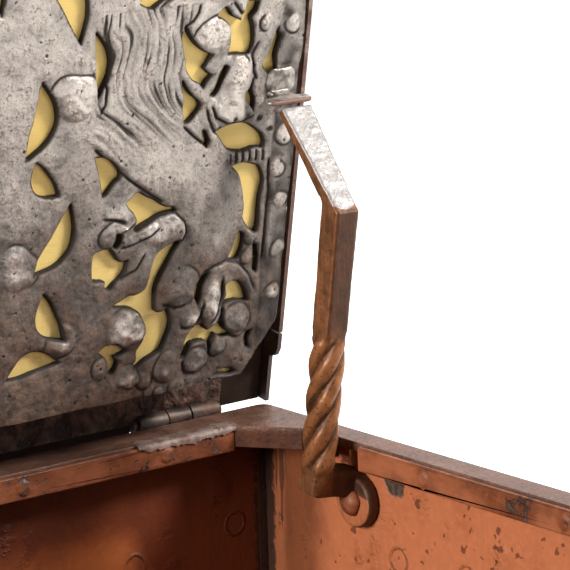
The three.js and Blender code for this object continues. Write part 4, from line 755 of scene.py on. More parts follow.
def cover_loops():
    """Outlines of the lock cover's seen face, in lid millimetres (x, s), the outer one first."""
    points = into_lid(corners_of("lock_cover"))
    face = points[:, 2].min()
    number, places, which = {}, [], []
    for point in points:
        key = (round(float(point[0]), 2), round(float(point[1]), 2))
        if key not in number:
            number[key] = len(places)
            places.append((point[0], -point[1]))
        which.append(number[key])
    edges = set()
    for triangle in triangles_of("lock_cover"):
        if np.abs(points[triangle, 2] - face).max() < 0.06:
            a, b, c = (which[i] for i in triangle)
            edges.update(((a, b), (b, c), (c, a)))
    edge_list = [(a, b) for a, b in edges if (b, a) not in edges]
    loops = [np.array([places[i] for i in loop]) for loop in boundary_loops(edge_list)]
    loops = [loop for loop in loops if len(loop) > 2]
    loops.sort(key=lambda loop: -np.ptp(loop[:, 0]))
    return loops, float(face)


def corner_slope(before, corner, after):
    """The line's direction at a corner, or nothing where the corner is sharp."""
    into, out = corner - before, after - corner
    lengths = np.linalg.norm(into) * np.linalg.norm(out) + 1e-9
    turn = math.degrees(math.acos(np.clip(into @ out / lengths, -1, 1)))
    return (after - before) * 0.5 * (1.0 - step(turn, 62.0, 100.0))


def softened(loop, gap):
    """The loop as a smooth line through its points, sharp only at its tips."""
    count = len(loop)
    line = []
    for i in range(count):
        before, start, end, after = (loop[(i + k) % count] for k in (-1, 0, 1, 2))
        first, second = corner_slope(before, start, end), corner_slope(start, end, after)
        length = np.linalg.norm(end - start)
        reach = length / max(np.linalg.norm(first), np.linalg.norm(second), length, 1e-9)
        first, second = first * reach, second * reach
        steps = max(2, int(length / gap))
        for k in range(steps):
            t = k / steps
            line.append(
                (2 * t**3 - 3 * t**2 + 1) * start
                + (t**3 - 2 * t**2 + t) * first
                + (3 * t**2 - 2 * t**3) * end
                + (t**3 - t**2) * second
            )
    return np.array(line)


def inside(points, loop):
    """Whether each point lies inside the loop."""
    x, y = points[:, 0], points[:, 1]
    found = np.zeros(len(points), bool)
    following = np.roll(loop, -1, axis=0)
    for (x0, y0), (x1, y1) in zip(loop, following):
        if y0 == y1:
            continue
        crosses = (y0 > y) != (y1 > y)
        found ^= crosses & (x < (x1 - x0) * (y - y0) / (y1 - y0) + x0)
    return found


def in_openings(points, openings):
    found = np.zeros(len(points), bool)
    for loop in openings:
        low, high = loop.min(0), loop.max(0)
        near = np.all((points >= low) & (points <= high), axis=1)
        if near.any():
            found[near] |= inside(points[near], loop)
    return found


# Lock cover

# Bosses: across, from the hinge axis, radius and height, in millimetres.
BOSSES = [
    (231, 226, 12, 2.6), (190, 76, 12, 2.6), (193, 49, 7, 2.2), (203, 45, 5, 1.5), (208, 38, 4, 1.2),
    (217, 50, 8, 1.2), (176, 57, 6, 1.6), (236, 51, 7, 1.4), (260, 70, 9, 1.5), (222, 95, 12, 1.0),
    (230, 77, 7, 0.9), (281, 229, 5, 1.2), (264, 231, 4, 1.0), (284, 106, 5, 1.2), (283, 82, 5, 1.2),
    (283, 133, 5, 1.0), (279, 151, 5, 0.8), (281, 170, 6, 0.9), (266, 115, 4, 1.1), (265, 104, 4, 0.9),
    (178, 129, 8, 1.0), (150, 205, 13, 2.2), (122, 120, 12, 2.0), (62, 190, 14, 2.2), (100, 62, 11, 2.0),
    (150, 76, 9, 1.8), (40, 100, 10, 2.0), (0, 62, 12, 2.2), (0, 128, 15, 2.6), (0, 205, 17, 2.8),
    (92, 160, 9, 1.6), (250, 56, 5, 1.2), (225, 38, 5, 0.9), (213, 37, 3, 0.9),
]
# Raised lumps with a rough top: across, from the hinge axis, half sizes and height.
LUMPS = [
    (250, 203, 8, 12, 1.9), (246, 188, 10, 8, 1.7), (243, 82, 6, 13, 2.6), (207, 128, 15, 8, 1.5),
    (266, 196, 6, 9, 1.0), (281, 200, 7, 9, 0.9), (222, 208, 7, 12, 0.6), (186, 143, 9, 6, 0.9),
    (200, 105, 9, 14, 1.0), (236, 132, 16, 24, 0.9), (213, 160, 22, 12, 0.8),
]
# Where one form lies over another: points (across, from the hinge axis), the higher form on their left.
CREASES = [
    [(163, 177), (172, 169.5), (181, 162), (186, 157.5), (193, 152.5), (201, 147), (209, 142)],
    [(217, 182), (224, 175.5), (230, 171), (235, 168)],
    [(231, 190), (233, 183), (237, 176), (241, 174)],
    [(234, 191), (237, 184), (244, 180), (253, 179.5), (262, 183)],
    [(273.5, 229), (272.5, 215), (272.5, 205), (272, 196), (270, 188)],
    [(222, 246), (221, 240), (218, 236), (212, 232)],
    [(221, 118), (223, 124), (221, 130), (216, 135), (208, 137)],
    [(180, 129), (186, 131), (192, 134)],
    [(183, 121), (192, 122.5), (200, 126), (206, 130)],
    [(271, 84), (266, 94), (259, 101), (251, 103.5), (243, 101.5), (236, 97)],
    [(212, 86), (221, 82.5), (229, 84), (235, 90)],
    [(224, 71), (232, 70.5), (237, 77), (238, 84)],
    [(252, 79), (251, 71), (255, 62), (263, 59), (270, 63)],
    [(250, 95), (250.5, 86), (248, 76), (243, 69)],
    [(170, 139), (178, 137.5), (186, 134)],
    [(184, 103), (193, 108), (198, 117)],
    [(199, 61), (207, 59.5), (216, 60)],
    [(228, 52), (230, 45), (238, 43), (244, 48)],
    [(242, 245), (248, 238), (252, 233)],
    [(262, 222), (258, 214), (259, 206), (263, 200)],
    [(256, 210), (252, 216), (244, 215)],
    [(274, 158), (276, 140), (275.5, 122), (275, 100)],
    [(166, 214), (169, 207), (168, 199), (165, 193)],
]
# Places painted darker as shade: across, from the hinge axis, half sizes and share.
SHADES = [
    (249, 146, 10, 24, 0.46), (258, 186, 7, 14, 0.55), (266, 205, 8, 26, 0.38), (238, 50, 30, 12, 0.42),
    (222, 86, 14, 5, 0.50), (190, 66, 14, 6, 0.40), (196, 98, 14, 8, 0.34), (262, 66, 12, 14, 0.34),
    (228, 206, 9, 8, 0.42), (212, 226, 6, 22, 0.30), (176, 66, 8, 24, 0.34), (242, 132, 14, 16, 0.40),
]
# The cover's grid is fine from here across to the right and from the hinges up to there, in millimetres.
FINE_FROM, FINE_TO = 148.0, 250.0
FRONT_SHARE = 0.877      # how much the pattern shrinks where the front part repeats the rear part
COVER_FLOOR = 1.5        # how far the relief's middle level stands over the sheet's face
COVER_BACK_GAP = 0.02    # how far the cut edges stop short of the sheet's back
NOISE_SIZES = (21.0, 8.5, 3.4, 1.7)
CATCH_PLACE = (264.0, 290.0, 191.5, 205.0)   # across and from the hinge axis
# The half-moon opening's middle and half sizes, and the width of a tooth with its gap.
HALF_MOON = (254.0, 166.0, 20.0, 16.5)
TOOTH_PITCH = 4.3


def rear_place(s, low, high):
    """The place toward the hinges that the front part of the cover repeats."""
    return np.where(s > low + (high - low) * 0.68, low + (high - s) / FRONT_SHARE, s)


def crease_gaps(x, at):
    """Signed distance to the nearest crease, positive on the higher form, and the share that it counts."""
    found = np.full(len(x), 99.0)
    share = np.zeros(len(x))
    for line in CREASES:
        line = np.asarray(line, float)
        for k, (start, end) in enumerate(zip(line[:-1], line[1:])):
            near = (np.abs(x - (start[0] + end[0]) / 2) < 22) & (np.abs(at - (start[1] + end[1]) / 2) < 22)
            place = np.where(near)[0]
            along = end - start
            length = math.hypot(*along)
            along = along / length
            dx, ds = x[place] - start[0], at[place] - start[1]
            t = np.clip(dx * along[0] + ds * along[1], 0.0, length)
            away_x, away_s = dx - t * along[0], ds - t * along[1]
            side = np.where(along[0] * ds - along[1] * dx >= 0, 1.0, -1.0)
            gap = side * np.hypot(away_x, away_s)
            ends = np.ones(len(place))
            if k == 0:
                ends = np.minimum(ends, 0.15 + t / 3.0)
            if k == len(line) - 2:
                ends = np.minimum(ends, 0.15 + (length - t) / 3.0)
            nearer = np.abs(gap) < np.abs(found[place])
            found[place[nearer]] = gap[nearer]
            share[place[nearer]] = ends[nearer]
    return found, share


def lay_creases(height, hollow, x, at):
    """Forms that lie over one another, with painted shadow along the lower form's edge."""
    gap, share = crease_gaps(x, at)
    above, below = np.maximum(gap, 0.0), np.maximum(-gap, 0.0)
    shoulder = 1.25 * np.exp(-above / 4.5) * (1 - np.exp(-above / 0.55))
    height = height + share * np.where(gap > 0, shoulder, 0.0)
    height -= share * np.where(gap <= 0, 1.05 * np.exp(-below / 1.5), 1.05 * np.exp(-above / 0.35))
    # painted shadow: a dark line along the lower form's edge
    return height, np.maximum(hollow, share * bell(gap + 0.45, 0.75))


def lay_hair(height, hollow, zone, x, at, large, middle, seed):
    """Wavy locks that bend aside toward the hinges."""
    bend = -0.016 * np.clip(216.0 - at, 0.0, 60.0) ** 2
    sway = x + bend + 1.9 * np.sin(at / 7.5 + 2.0 * large) + 3.2 * large + 0.9 * middle
    none = np.zeros(len(at))
    locks = noise_at(np.column_stack([sway * 1.6, at * 0.35, none]), 9.0, seed + 7)
    wave = noise_at(np.column_stack([sway, at * 0.10, none]), 2.1, seed + 8) * 1.5
    finer = noise_at(np.column_stack([sway, at * 0.12, none]), 1.15, seed + 11)
    height = height + zone * (0.55 * wave + 0.14 * finer + 0.50 * locks)
    streak = 0.62 * step(-wave, 0.0, 0.7) + 0.26 * step(-finer, 0.1, 0.7)
    return height, np.maximum(hollow, zone * streak * (0.60 + 0.6 * step(locks, -0.4, 0.4)))


def lay_half_moon(height, hollow, x, at):
    """A row of teeth under the half-moon opening and scallops over it."""
    low_edge = 163.5 - 0.0045 * (x - 258) ** 2
    teeth = window(x, 247, 249, 270, 272) * window(at, low_edge - 7.5, low_edge - 6, low_edge - 1.2, low_edge)
    notch = np.sin((x - 249) * 2 * math.pi / TOOTH_PITCH)
    height = height + teeth * 0.75 * notch
    hollow = np.maximum(hollow, teeth * step(-notch, -0.1, 0.8))
    scallop = bell((oval(x, at, *HALF_MOON) - 1.0) * 16.0, 2.2) * step(at, 168, 174)
    wave = np.sin(np.arctan2(at - HALF_MOON[1], x - HALF_MOON[0]) * 12.0)
    height += scallop * (0.4 + 0.5 * wave)
    return height, np.maximum(hollow, scallop * step(-wave, 0.0, 1.0) * 0.8)


def lay_bosses(height, hollow, x, at, middle, small, scale):
    """Domes with a dark foot, lumps and places painted darker as shade."""
    tops = np.zeros(len(x))
    for number, (bx, bs, radius, rise) in enumerate(BOSSES):
        turn = np.arctan2(at - bs, x - bx)
        wobble = 1 + 0.10 * np.sin(2 * turn + number) + 0.06 * np.sin(3 * turn + 2.1 * number) + 0.05 * middle
        away = np.hypot(x - bx, at - bs) / (radius * wobble)
        dome = np.clip(1.0 - away**2, 0.0, 1.0) ** 0.62
        foot = bell((away - 1.04) * radius, 0.9) * step(np.sin(turn + 0.9 * number), -0.7, 0.5)
        height = height + scale * rise * dome * (1 + 0.16 * small + 0.14 * middle) - 0.35 * foot
        tops = np.maximum(tops, step(dome, 0.15, 0.8))
        hollow = np.maximum(hollow * (1 - 0.6 * step(dome, 0.3, 0.8)), 0.75 * foot)
    for *place, rise in LUMPS:
        height += step(1.3 - oval(x, at, *place), 0.0, 0.8) * rise * (1 + 0.35 * middle + 0.15 * small)
    for *place, share in SHADES:
        shade = share * step(1.25 - oval(x, at, *place), 0.0, 0.8) * (0.8 + 0.4 * middle)
        hollow = np.maximum(hollow, shade)
    return height, np.maximum(hollow, step(x, 270, 276) * (0.46 + 0.40 * middle) * (1 - 0.9 * tops))


def cover_relief(points, gaps, sizes, low, high):
    """Height over the sheet's face and a mask of the hollows and the painted shade, for points (x, s)."""
    x, s = np.abs(points[:, 0]), points[:, 1]
    at = rear_place(s, low, high)
    flat = np.column_stack([points[:, 0], s, np.zeros(len(s))])
    large, middle, small, tiny = (noise_at(flat, size, sizes.seed + k) for k, size in enumerate(NOISE_SIZES))
    body = window(x, 192, 206, 254, 264) * window(at, 104, 116, 166, 180)
    hair_zone = window(x, 158, 166, 214, 220) * step(at, 168, 184)
    calm = 1 - 0.72 * np.maximum(body, 0.7 * hair_zone)
    height = COVER_FLOOR + 0.95 * large * (1 - 0.4 * body)
    height += (0.55 * middle + 0.20 * small) * calm + 0.07 * tiny
    hollow = np.maximum(0.0, -0.55 * middle - 0.35 * small - 0.15) * calm
    height, hollow = lay_creases(height, hollow, x, at)
    height, hollow = lay_hair(height, hollow, hair_zone, x, at, large, middle, sizes.seed)
    height, hollow = lay_half_moon(height, hollow, x, at)
    height, hollow = lay_bosses(height, hollow, x, at, middle, small, sizes.cover_boss)
    # plain rim along the sides
    border = bell(x - 274.5 - 0.5 * middle, 0.6) * step(s, low + 14, low + 26)
    height -= 0.6 * border * (0.5 + 0.5 * large)
    height += 0.5 * step(x, 287.4, 288.6)
    # the sheet falls off at every edge, with a thin bright lip in places
    height -= sizes.cover_edge * np.exp(-gaps / 4.5) + 1.0 * np.exp(-gaps / 0.6)
    height += 0.35 * bell(gaps - 1.5, 0.7) * step(middle + large, -0.3, 0.4)
    # flat under the catch's foot, which is on the right side alone
    left, right, near_s, far_s = CATCH_PLACE
    catch = window(x, left - 4, left, right, right + 4) * (points[:, 0] > 0)
    catch *= window(s, near_s - 5, near_s, far_s, far_s + 5)
    height = height * (1 - catch) - 0.2 * catch
    pits = step(noise_at(flat, 2.3, sizes.seed + 9), 0.60, 0.78)
    height -= 0.45 * pits
    # painted shade along the cut edges, besides the pits
    hollow = np.maximum(np.maximum(hollow, pits * 0.8), np.exp(-gaps / 0.9) * 0.9)
    return np.maximum(height, -2.6), hollow


def uneven_line(low, high, fine_low, fine_high, cell):
    """Grid places from low to high, close together between fine_low and fine_high."""
    parts = []
    coarse = cell * 1.9
    stretches = ((low, fine_low, coarse), (fine_low, fine_high, cell), (fine_high, high, coarse))
    for start, end, gap in stretches:
        if end - start > 0.1:
            parts.append(np.linspace(start, end, max(2, int(round((end - start) / gap)) + 1))[:-1])
    return np.append(np.concatenate(parts), high)


def quads_of(number):
    """The corners of each cell of a numbered grid, as four arrays in order round the cell."""
    return [part.ravel() for part in (number[:-1, :-1], number[:-1, 1:], number[1:, 1:], number[1:, :-1])]


def make_cover(sizes):
    """The lock cover as one skin on a grid that snaps to its outline and its openings."""
    loops, face = cover_loops()
    outer, openings = loops[0], [softened(loop, 0.35) for loop in loops[1:]]
    back = into_lid(corners_of("lock_cover"))[:, 2].max()
    low, high = outer[:, 1].min(), outer[:, 1].max()
    side = outer[:, 0].max()
    rim_line = softened(outer, 0.35)
    samples = np.concatenate([*openings, rim_line])
    tree = distance_tree(samples)
    across = uneven_line(-side, side, FINE_FROM, side - 0.1, sizes.cover_cell)
    along = uneven_line(low, high, low + 0.1, FINE_TO, sizes.cover_cell)
    wide, deep = len(across), len(along)
    grid = np.stack(np.meshgrid(across, along), -1).reshape(-1, 2)
    in_metal = inside(grid, outer + 1e-4 * np.sign(outer)) & ~in_openings(grid, openings)
    gaps = np.empty(len(grid))
    pitch = np.maximum(np.repeat(np.gradient(along), wide), np.tile(np.gradient(across), deep))
    for i, (x, s) in enumerate(grid):
        at, _, gap = tree.find((x, s, 0.0))
        gaps[i] = gap
        if gap < pitch[i] * 0.5:
            grid[i] = (at[0], at[1])
            gaps[i] = 0.0
            in_metal[i] = True
    edge = gaps == 0.0
    height, hollow = cover_relief(grid, gaps, sizes, low, high)
    a, b, c, d = quads_of(np.arange(len(grid)).reshape(deep, wide))
    middle = (grid[a] + grid[b] + grid[c] + grid[d]) / 4
    clear = inside(middle, outer) & ~in_openings(middle, openings)
    faces = []
    for i, quad in enumerate(np.stack([a, b, c, d], 1).tolist()):
        good = [bool(in_metal[k]) for k in quad]
        if all(good):
            if clear[i] or not all(edge[k] for k in quad):
                faces.append(quad)
        elif sum(good) == 3:
            three = [k for k, fine in zip(quad, good) if fine]
            if not all(edge[k] for k in three) or clear[i]:
                faces.append(three)
    edges = set()
    for face_corners in faces:
        edges.update(zip(face_corners, face_corners[1:] + face_corners[:1]))
    rims = [(p, q) for p, q in edges if (q, p) not in edges]
    kept = sorted({k for face_corners in faces for k in face_corners})
    renumber = {k: i for i, k in enumerate(kept)}
    points = [(grid[k][0], -grid[k][1], face - height[k]) for k in kept]
    raised = [step(height[k], 0.6, 4.2) for k in kept]
    sunk_and_shaded = [hollow[k] for k in kept]
    faces = [[renumber[k] for k in face_corners] for face_corners in faces]
    # the cut edges: a row of points half way down and a row at the sheet's back, whose hollow mask paints the
    # cut walls dark as shade
    above = renumber
    for last, wall_shade in ((False, 0.9), (True, 1.0)):
        ring = {}
        for p in {k for pair in rims for k in pair}:
            half_way = (face - height[p] + back) / 2
            ring[p] = len(points)
            points.append((grid[p][0], -grid[p][1], back - COVER_BACK_GAP if last else half_way))
            raised.append(0.0)
            sunk_and_shaded.append(wall_shade)
        faces += [[above[q], above[p], ring[p], ring[q]] for p, q in rims]
        above = ring
    piece = new_piece(
        "lock_cover_relief", from_lid(points), faces, finish(chased_steel), "lid", 62.0,
        {"raised": raised, "hollow": sunk_and_shaded},
    )
    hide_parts("lock_cover")


# Prop

PROP_MIDDLE = 0.2755     # across, in metres; the sizes that follow are in millimetres
PROP_BAR = 14.0
PROP_OFFSET = 5.0
TWIST_FROM, TWIST_TO = 17.0, 101.0
BEND = (5.0, 162.0)      # (v, u) of the bend's middle
BEND_BACK_UP = 166.6     # how far up the bend starts on the bar's back
BEND_BEFORE, BEND_AFTER = -3.5, 12.0
BLADE_LEAN = math.radians(48.5)
BLADE_LENGTH = 60.3
BLADE_FACE = 6.6
BLADE_WIDTHS = (14.0, 18.6)
BLADE_THICKNESS = (7.8, 4.9)


def between(ends, share):
    return ends[0] + (ends[1] - ends[0]) * share


def circle(x, radius, count, middle=(0.0, 0.0)):
    """A ring of points at x, round an axis along X."""
    turns = [k * math.tau / count for k in range(count)]
    return [(x, middle[0] + radius * math.cos(t), middle[1] + radius * math.sin(t)) for t in turns]


def on_blade(distance, height):
    """(v, u) of a point of the blade's side view."""
    along = (math.sin(BLADE_LEAN), math.cos(BLADE_LEAN))
    ahead = (-along[1], along[0])
    return tuple(BEND[i] + along[i] * distance + ahead[i] * height for i in (0, 1))


def rounded_ring(width, depth, radius, hollow, turn=0.0):
    """A closed ring of points round a bar: (across, ahead); hollow makes four lobes with grooves between."""
    ring = []
    half_x, half_y = width / 2, depth / 2
    for quarter in range(4):
        sx, sy = ((1, 1), (-1, 1), (-1, -1), (1, -1))[quarter]
        cx, cy = sx * (half_x - radius), sy * (half_y - radius)
        start = quarter * math.pi / 2
        for k in range(8):
            angle = start + (math.pi / 2) * k / 7
            ring.append((cx + radius * math.cos(angle), cy + radius * math.sin(angle)))
        # the side that follows this corner
        tx, ty = ((-1, 1), (-1, -1), (1, -1), (1, 1))[quarter]
        out_x, out_y = ((0, 1), (-1, 0), (0, -1), (1, 0))[quarter]
        across = (cx + radius * out_x, tx * (half_x - radius) + radius * out_x)
        ahead = (cy + radius * out_y, ty * (half_y - radius) + radius * out_y)
        ring += [(between(across, k / 10), between(ahead, k / 10)) for k in range(1, 10)]
    if hollow > 0:
        share = min(1.0, hollow / 3.0)
        for i, (x, y) in enumerate(ring):
            away, at = math.hypot(x, y), math.atan2(y, x)
            lobe = width / 2 - 1.3 * share + hollow * abs(math.sin(2 * at)) ** 0.6
            away += (lobe - away) * share
            ring[i] = (away * math.cos(at), away * math.sin(at))
    cos, sin = math.cos(turn), math.sin(turn)
    return [(x * cos - y * sin, x * sin + y * cos) for x, y in ring]


def twist_share(u):
    """Share of the whole turn reached at u, with a soft start and end."""
    t = (u - TWIST_FROM) / (TWIST_TO - TWIST_FROM)
    t = min(1.0, max(0.0, t))
    ease = 0.07
    if t < ease:
        return t * t / (2 * ease * (1 - ease))
    if t > 1 - ease:
        return 1 - (1 - t) ** 2 / (2 * ease * (1 - ease))
    return (t - ease / 2) / (1 - ease)


def shank_rings(sizes):
    rings = []
    front = PROP_OFFSET - PROP_BAR / 2
    last = on_blade(BEND_BEFORE, BLADE_FACE)[1]
    for u in np.arange(9.0, last, 1.0):
        twisted = float(window(u, TWIST_FROM + 1, TWIST_FROM + 9, TWIST_TO - 9, TWIST_TO - 1))
        radius = 2.0 + 1.1 * twisted
        size = PROP_BAR + 0.9 * twisted + 0.5 * float(step(u, 120, 160))
        turn = sizes.twist_turn * twist_share(u)
        ring = rounded_ring(size, size, radius, sizes.twist_hollow * twisted, turn)
        rings.append([(x, PROP_OFFSET + y, u) for x, y in ring])
    # the bend: the ring's plane turns over from the shank to the blade
    start_back = (front + PROP_BAR, BEND_BACK_UP)
    depth = between(BLADE_THICKNESS, BEND_AFTER / BLADE_LENGTH)
    end_back = on_blade(BEND_AFTER, BLADE_FACE - depth)
    for share in (k / 6 for k in range(6)):
        first = on_blade(BEND_BEFORE + (BEND_AFTER - BEND_BEFORE) * share, BLADE_FACE)
        second = tuple(between(ends, share) for ends in zip(start_back, end_back))
        rings.append(side_ring(first, second, 14.3, 1.5))
    for distance in np.linspace(BEND_AFTER, BLADE_LENGTH, 40):
        share = distance / BLADE_LENGTH
        width = between(BLADE_WIDTHS, share) + 0.3 * math.sin(share * 9.0)
        depth = between(BLADE_THICKNESS, share)
        rings.append(
            side_ring(on_blade(distance, BLADE_FACE), on_blade(distance, BLADE_FACE - depth), width, 1.1)
        )
    return rings


def side_ring(first, second, width, radius):
    """A ring whose front and back middle points are given in the side view."""
    middle = ((first[0] + second[0]) / 2, (first[1] + second[1]) / 2)
    depth = math.dist(first, second)
    back = ((second[0] - first[0]) / depth, (second[1] - first[1]) / depth)
    radius = min(radius, depth / 2 - 0.2)
    ring = rounded_ring(width, depth, radius, 0.0)
    return [(x, middle[0] + back[0] * y, middle[1] + back[1] * y) for x, y in ring]


def closed_tube(rings):
    points = [point for ring in rings for point in ring]
    count = len(rings[0])
    faces = []
    for k in range(len(rings) - 1):
        for i in range(count):
            j = (i + 1) % count
            faces.append([k * count + i, k * count + j, (k + 1) * count + j, (k + 1) * count + i])
    faces.append(list(range(count))[::-1])
    faces.append([(len(rings) - 1) * count + i for i in range(count)])
    return points, faces


def eye_and_arm(eye_in, eye_out):
    """The eye on the wall and the arm that grows out of the shank's foot."""
    profile = [
        (eye_in, 12.6), (eye_in + 0.9, 14.0), (eye_in + 2.4, 14.5), (eye_out - 0.8, 14.5), (eye_out, 13.7),
    ]
    eye = [circle(x, radius, 64) for x, radius in profile]
    # the arm: from the foot's inner side to the eye's rim, deeper toward the eye
    stations = [
        (-6.4, 5.0, 17.0, 12.6, 16.0), (-2.0, 5.0, 15.6, 13.4, 18.5),
        (4.0, 5.0, 14.4, 13.8, 17.5), (10.0, 5.2, 13.0, 13.6, 16.5),
        (eye_in + 1.0, 5.0, 9.6, 13.2, 17.0), (eye_out - 0.4, 4.6, 7.6, 12.8, 16.0),
    ]
    arm = []
    for x, v, u, size_v, size_u in stations:
        arm.append([(x, v + y, u + z) for y, z in rounded_ring(size_v, size_u, 3.0, 0.0)])
    return [closed_tube(eye), closed_tube(arm)]


def joined_parts(parts):
    points, faces = [], []
    for more_points, more_faces in parts:
        first = len(points)
        points += more_points
        faces += [[first + k for k in face] for face in more_faces]
    return points, faces


def melted(points, faces, voxel, rounds):
    """The parts as one closed skin, evened out a little; sizes in the units of points."""
    mesh = bpy.data.meshes.new("melt")
    mesh.from_pydata([tuple(p) for p in points], [], [tuple(f) for f in faces])
    made = bmesh.new()
    made.from_mesh(mesh)
    bmesh.ops.recalc_face_normals(made, faces=made.faces)
    made.to_mesh(mesh)
    made.free()
    rough = add_object("melt", mesh)
    remesh = rough.modifiers.new("skin", "REMESH")
    remesh.mode = "VOXEL"
    remesh.voxel_size = voxel
    smooth = rough.modifiers.new("even", "SMOOTH")
    smooth.factor = 0.5
    smooth.iterations = rounds
    bpy.context.view_layer.update()
    done = rough.evaluated_get(bpy.context.evaluated_depsgraph_get()).to_mesh()
    found = np.array([v.co for v in done.vertices])
    polygons = [list(p.vertices) for p in done.polygons]
    normals = np.array([v.normal for v in done.vertices])
    bpy.data.objects.remove(rough)
    bpy.data.meshes.remove(mesh)
    return found, polygons, normals


def make_prop(sizes):
    eye_out = (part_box("prop")[1].x - PROP_MIDDLE) / MM
    eye_in = eye_out - 7.0
    parts = [closed_tube(shank_rings(sizes)), *eye_and_arm(eye_in, eye_out)]
    points, faces = joined_parts(parts)
    points, faces, normals = melted(points, faces, 0.62, 2)
    x, v, u = points.T
    wave = noise_at(points, 7.0, sizes.seed + 20) * 0.22 + noise_at(points, 2.2, sizes.seed + 21) * 0.07
    points = points + normals * wave[:, None]
    # bare polished steel on the blade's face, ending in a round foot above the bend
    distance = (v - BEND[0]) * math.sin(BLADE_LEAN) + (u - BEND[1]) * math.cos(BLADE_LEAN)
    ahead = -(v - BEND[0]) * math.cos(BLADE_LEAN) + (u - BEND[1]) * math.sin(BLADE_LEAN)
    foot = -1.5 + 3.2 * (x / 7.0) ** 2
    polish = step(ahead, BLADE_FACE - 1.3, BLADE_FACE - 0.7) * step(distance - foot, -0.8, 0.8)
    away = np.hypot(x, v - PROP_OFFSET)
    twisted = window(u, TWIST_FROM, TWIST_FROM + 8, TWIST_TO - 8, TWIST_TO)
    # masks for a painted highlight on the twist's ridges and painted shade in its grooves
    ridge = step(away, 7.6, 8.9) * twisted
    groove = (1 - step(away, 6.5, 7.7)) * twisted * step(away, 3.0, 5.0)
    # painted shade on the shank's front face
    front = step(PROP_OFFSET - v, 5.6, 6.6) * window(u, TWIST_TO - 6, TWIST_TO + 4, 172, 182)
    plain = window(u, TWIST_TO - 4, TWIST_TO + 6, 166, 176)
    ridge = np.maximum(ridge, plain * step(away, 8.2, 9.1) * 0.8)
    painted = step(-x, -(eye_in + 1.4), -(eye_in + 0.3)) * step(x, eye_in - 1.8, eye_in - 0.6)
    painted *= step(-np.hypot(v, u), -14.2, -12.8) * step(-u, -8.0, -3.0)
    # painted shade on the arm and the eye's outer part
    dark = step(x, 3.5, 7.0) * step(-u, -22.0, -16.0) * (1 - painted)
    points = from_prop(points, PROP_MIDDLE)
    masks = {
        "polish": polish, "ridge": ridge, "painted": painted, "groove": groove, "dark": dark, "front": front,
    }
    piece = new_piece(
        "prop_forged", points, faces, finish(prop_skin), "lid_prop", 70.0, masks
    )
    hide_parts("prop")


# Small forged pieces


def make_rivet_head():
    """The rivet that the prop turns on: its hammered head, its shank and its flat outer head."""
    low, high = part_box("prop_rivet")
    inner_low = (low.x - PROP_MIDDLE) / MM
    rings = []
    profile = [(0.0, 7.0), (0.5, 7.2), (1.6, 6.9), (2.8, 6.2), (3.9, 5.0), (4.7, 3.4), (5.1, 1.6)]
    base = inner_low + 4.0
    for rise, radius in profile:
        ring = []
        for k in range(40):
            turn = k * math.tau / 40
            wobble = 1 + 0.045 * math.sin(3 * turn + 1.0) + 0.03 * math.sin(5 * turn)
            ring.append((base - rise, radius * wobble * math.cos(turn), radius * wobble * math.sin(turn)))
        rings.append(ring)
    head_points, head_faces = closed_tube(rings)
    end = (high.x - PROP_MIDDLE) / MM
    shank = [circle(x, 4.4, 24) for x in (base - 1.0, end - 1.5)]
    profile = ((0.0, 7.4), (0.9, 6.6), (1.9, 4.6), (2.4, 2.0))
    outer = [circle(end - 2.4 + rise, radius, 32) for rise, radius in profile]
    points, faces = joined_parts([(head_points, head_faces), closed_tube(shank), closed_tube(outer)])
    points = from_prop(points, PROP_MIDDLE)
    piece = new_piece("prop_rivet_head", points, faces, finish(strip_paint), "box", 55.0)
    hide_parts("prop_rivet")


# The torn leaves: the rim's inner edge, the leaf's ends across and the rim's top, in millimetres.
RIM_EDGE = 158.0
LEAF_ENDS = (206.0, 271.0)
RIM_TOP = 360.0


def make_torn_leaf(sizes):
    """Bare sheet metal of the hinge leaf, bent down over the rear rim's inner edge."""
    start, end = LEAF_ENDS
    for side in (1, -1):
        points, faces = [], []
        for i, x in enumerate(np.linspace(start, end, 118)):
            rough = noise.noise(Vector((x / 7.0, side * 3.0, sizes.seed)))
            finer = noise.noise(Vector((x / 1.9, side * 5.0, sizes.seed)))
            reach = 9.5 + 4.0 * rough + 1.0 * finer
            bulge = max(0.0, math.sin((x - start) / (end - start) * math.pi))
            drop = 0.9 + 1.7 * bulge + 1.6 * rough + 0.8 * finer
            # behind the rim's edge and over its top
            profile = [
                (reach, 0.03), (reach * 0.6, 0.28), (1.6, 0.32), (0.3, 0.2), (-0.7, -0.4), (-1.15, -1.4),
                (-1.35, -1.4 - drop * 0.5), (-1.2, -1.4 - drop), (-0.5, -1.5 - drop),
            ]
            rows = len(profile)
            for behind, over in profile:
                points.append((side * x * MM, (RIM_EDGE + behind) * MM, (RIM_TOP + over) * MM))
            if i:
                for k in range(rows - 1):
                    a, b = (i - 1) * rows + k, i * rows + k
                    faces.append([a, b, b + 1, a + 1] if side > 0 else [a, a + 1, b + 1, b])
        name = f"torn_leaf_{'right' if side > 0 else 'left'}"
        new_piece(name, points, faces, finish(torn_metal), "box", 60.0)


def stadium(half_long, half_deep, height, radius, count=10):
    """Rings of a flat bar with round ends, from its lower to its upper face: (x, z, height)."""
    levels = [(radius, 0.0), (radius * 0.3, radius * 0.3), (0.0, radius)]
    levels += [(inset, height - level) for inset, level in reversed(levels)]
    rings = []
    for inset, level in levels:
        deep = half_deep - inset
        ring = []
        for end, start in ((1, -math.pi / 2), (-1, math.pi / 2)):
            for k in range(count + 1):
                turn = start + math.pi * k / count
                x = end * (half_long - half_deep) + deep * math.cos(turn)
                ring.append((x, deep * math.sin(turn), level))
        rings.append(ring)
    return rings


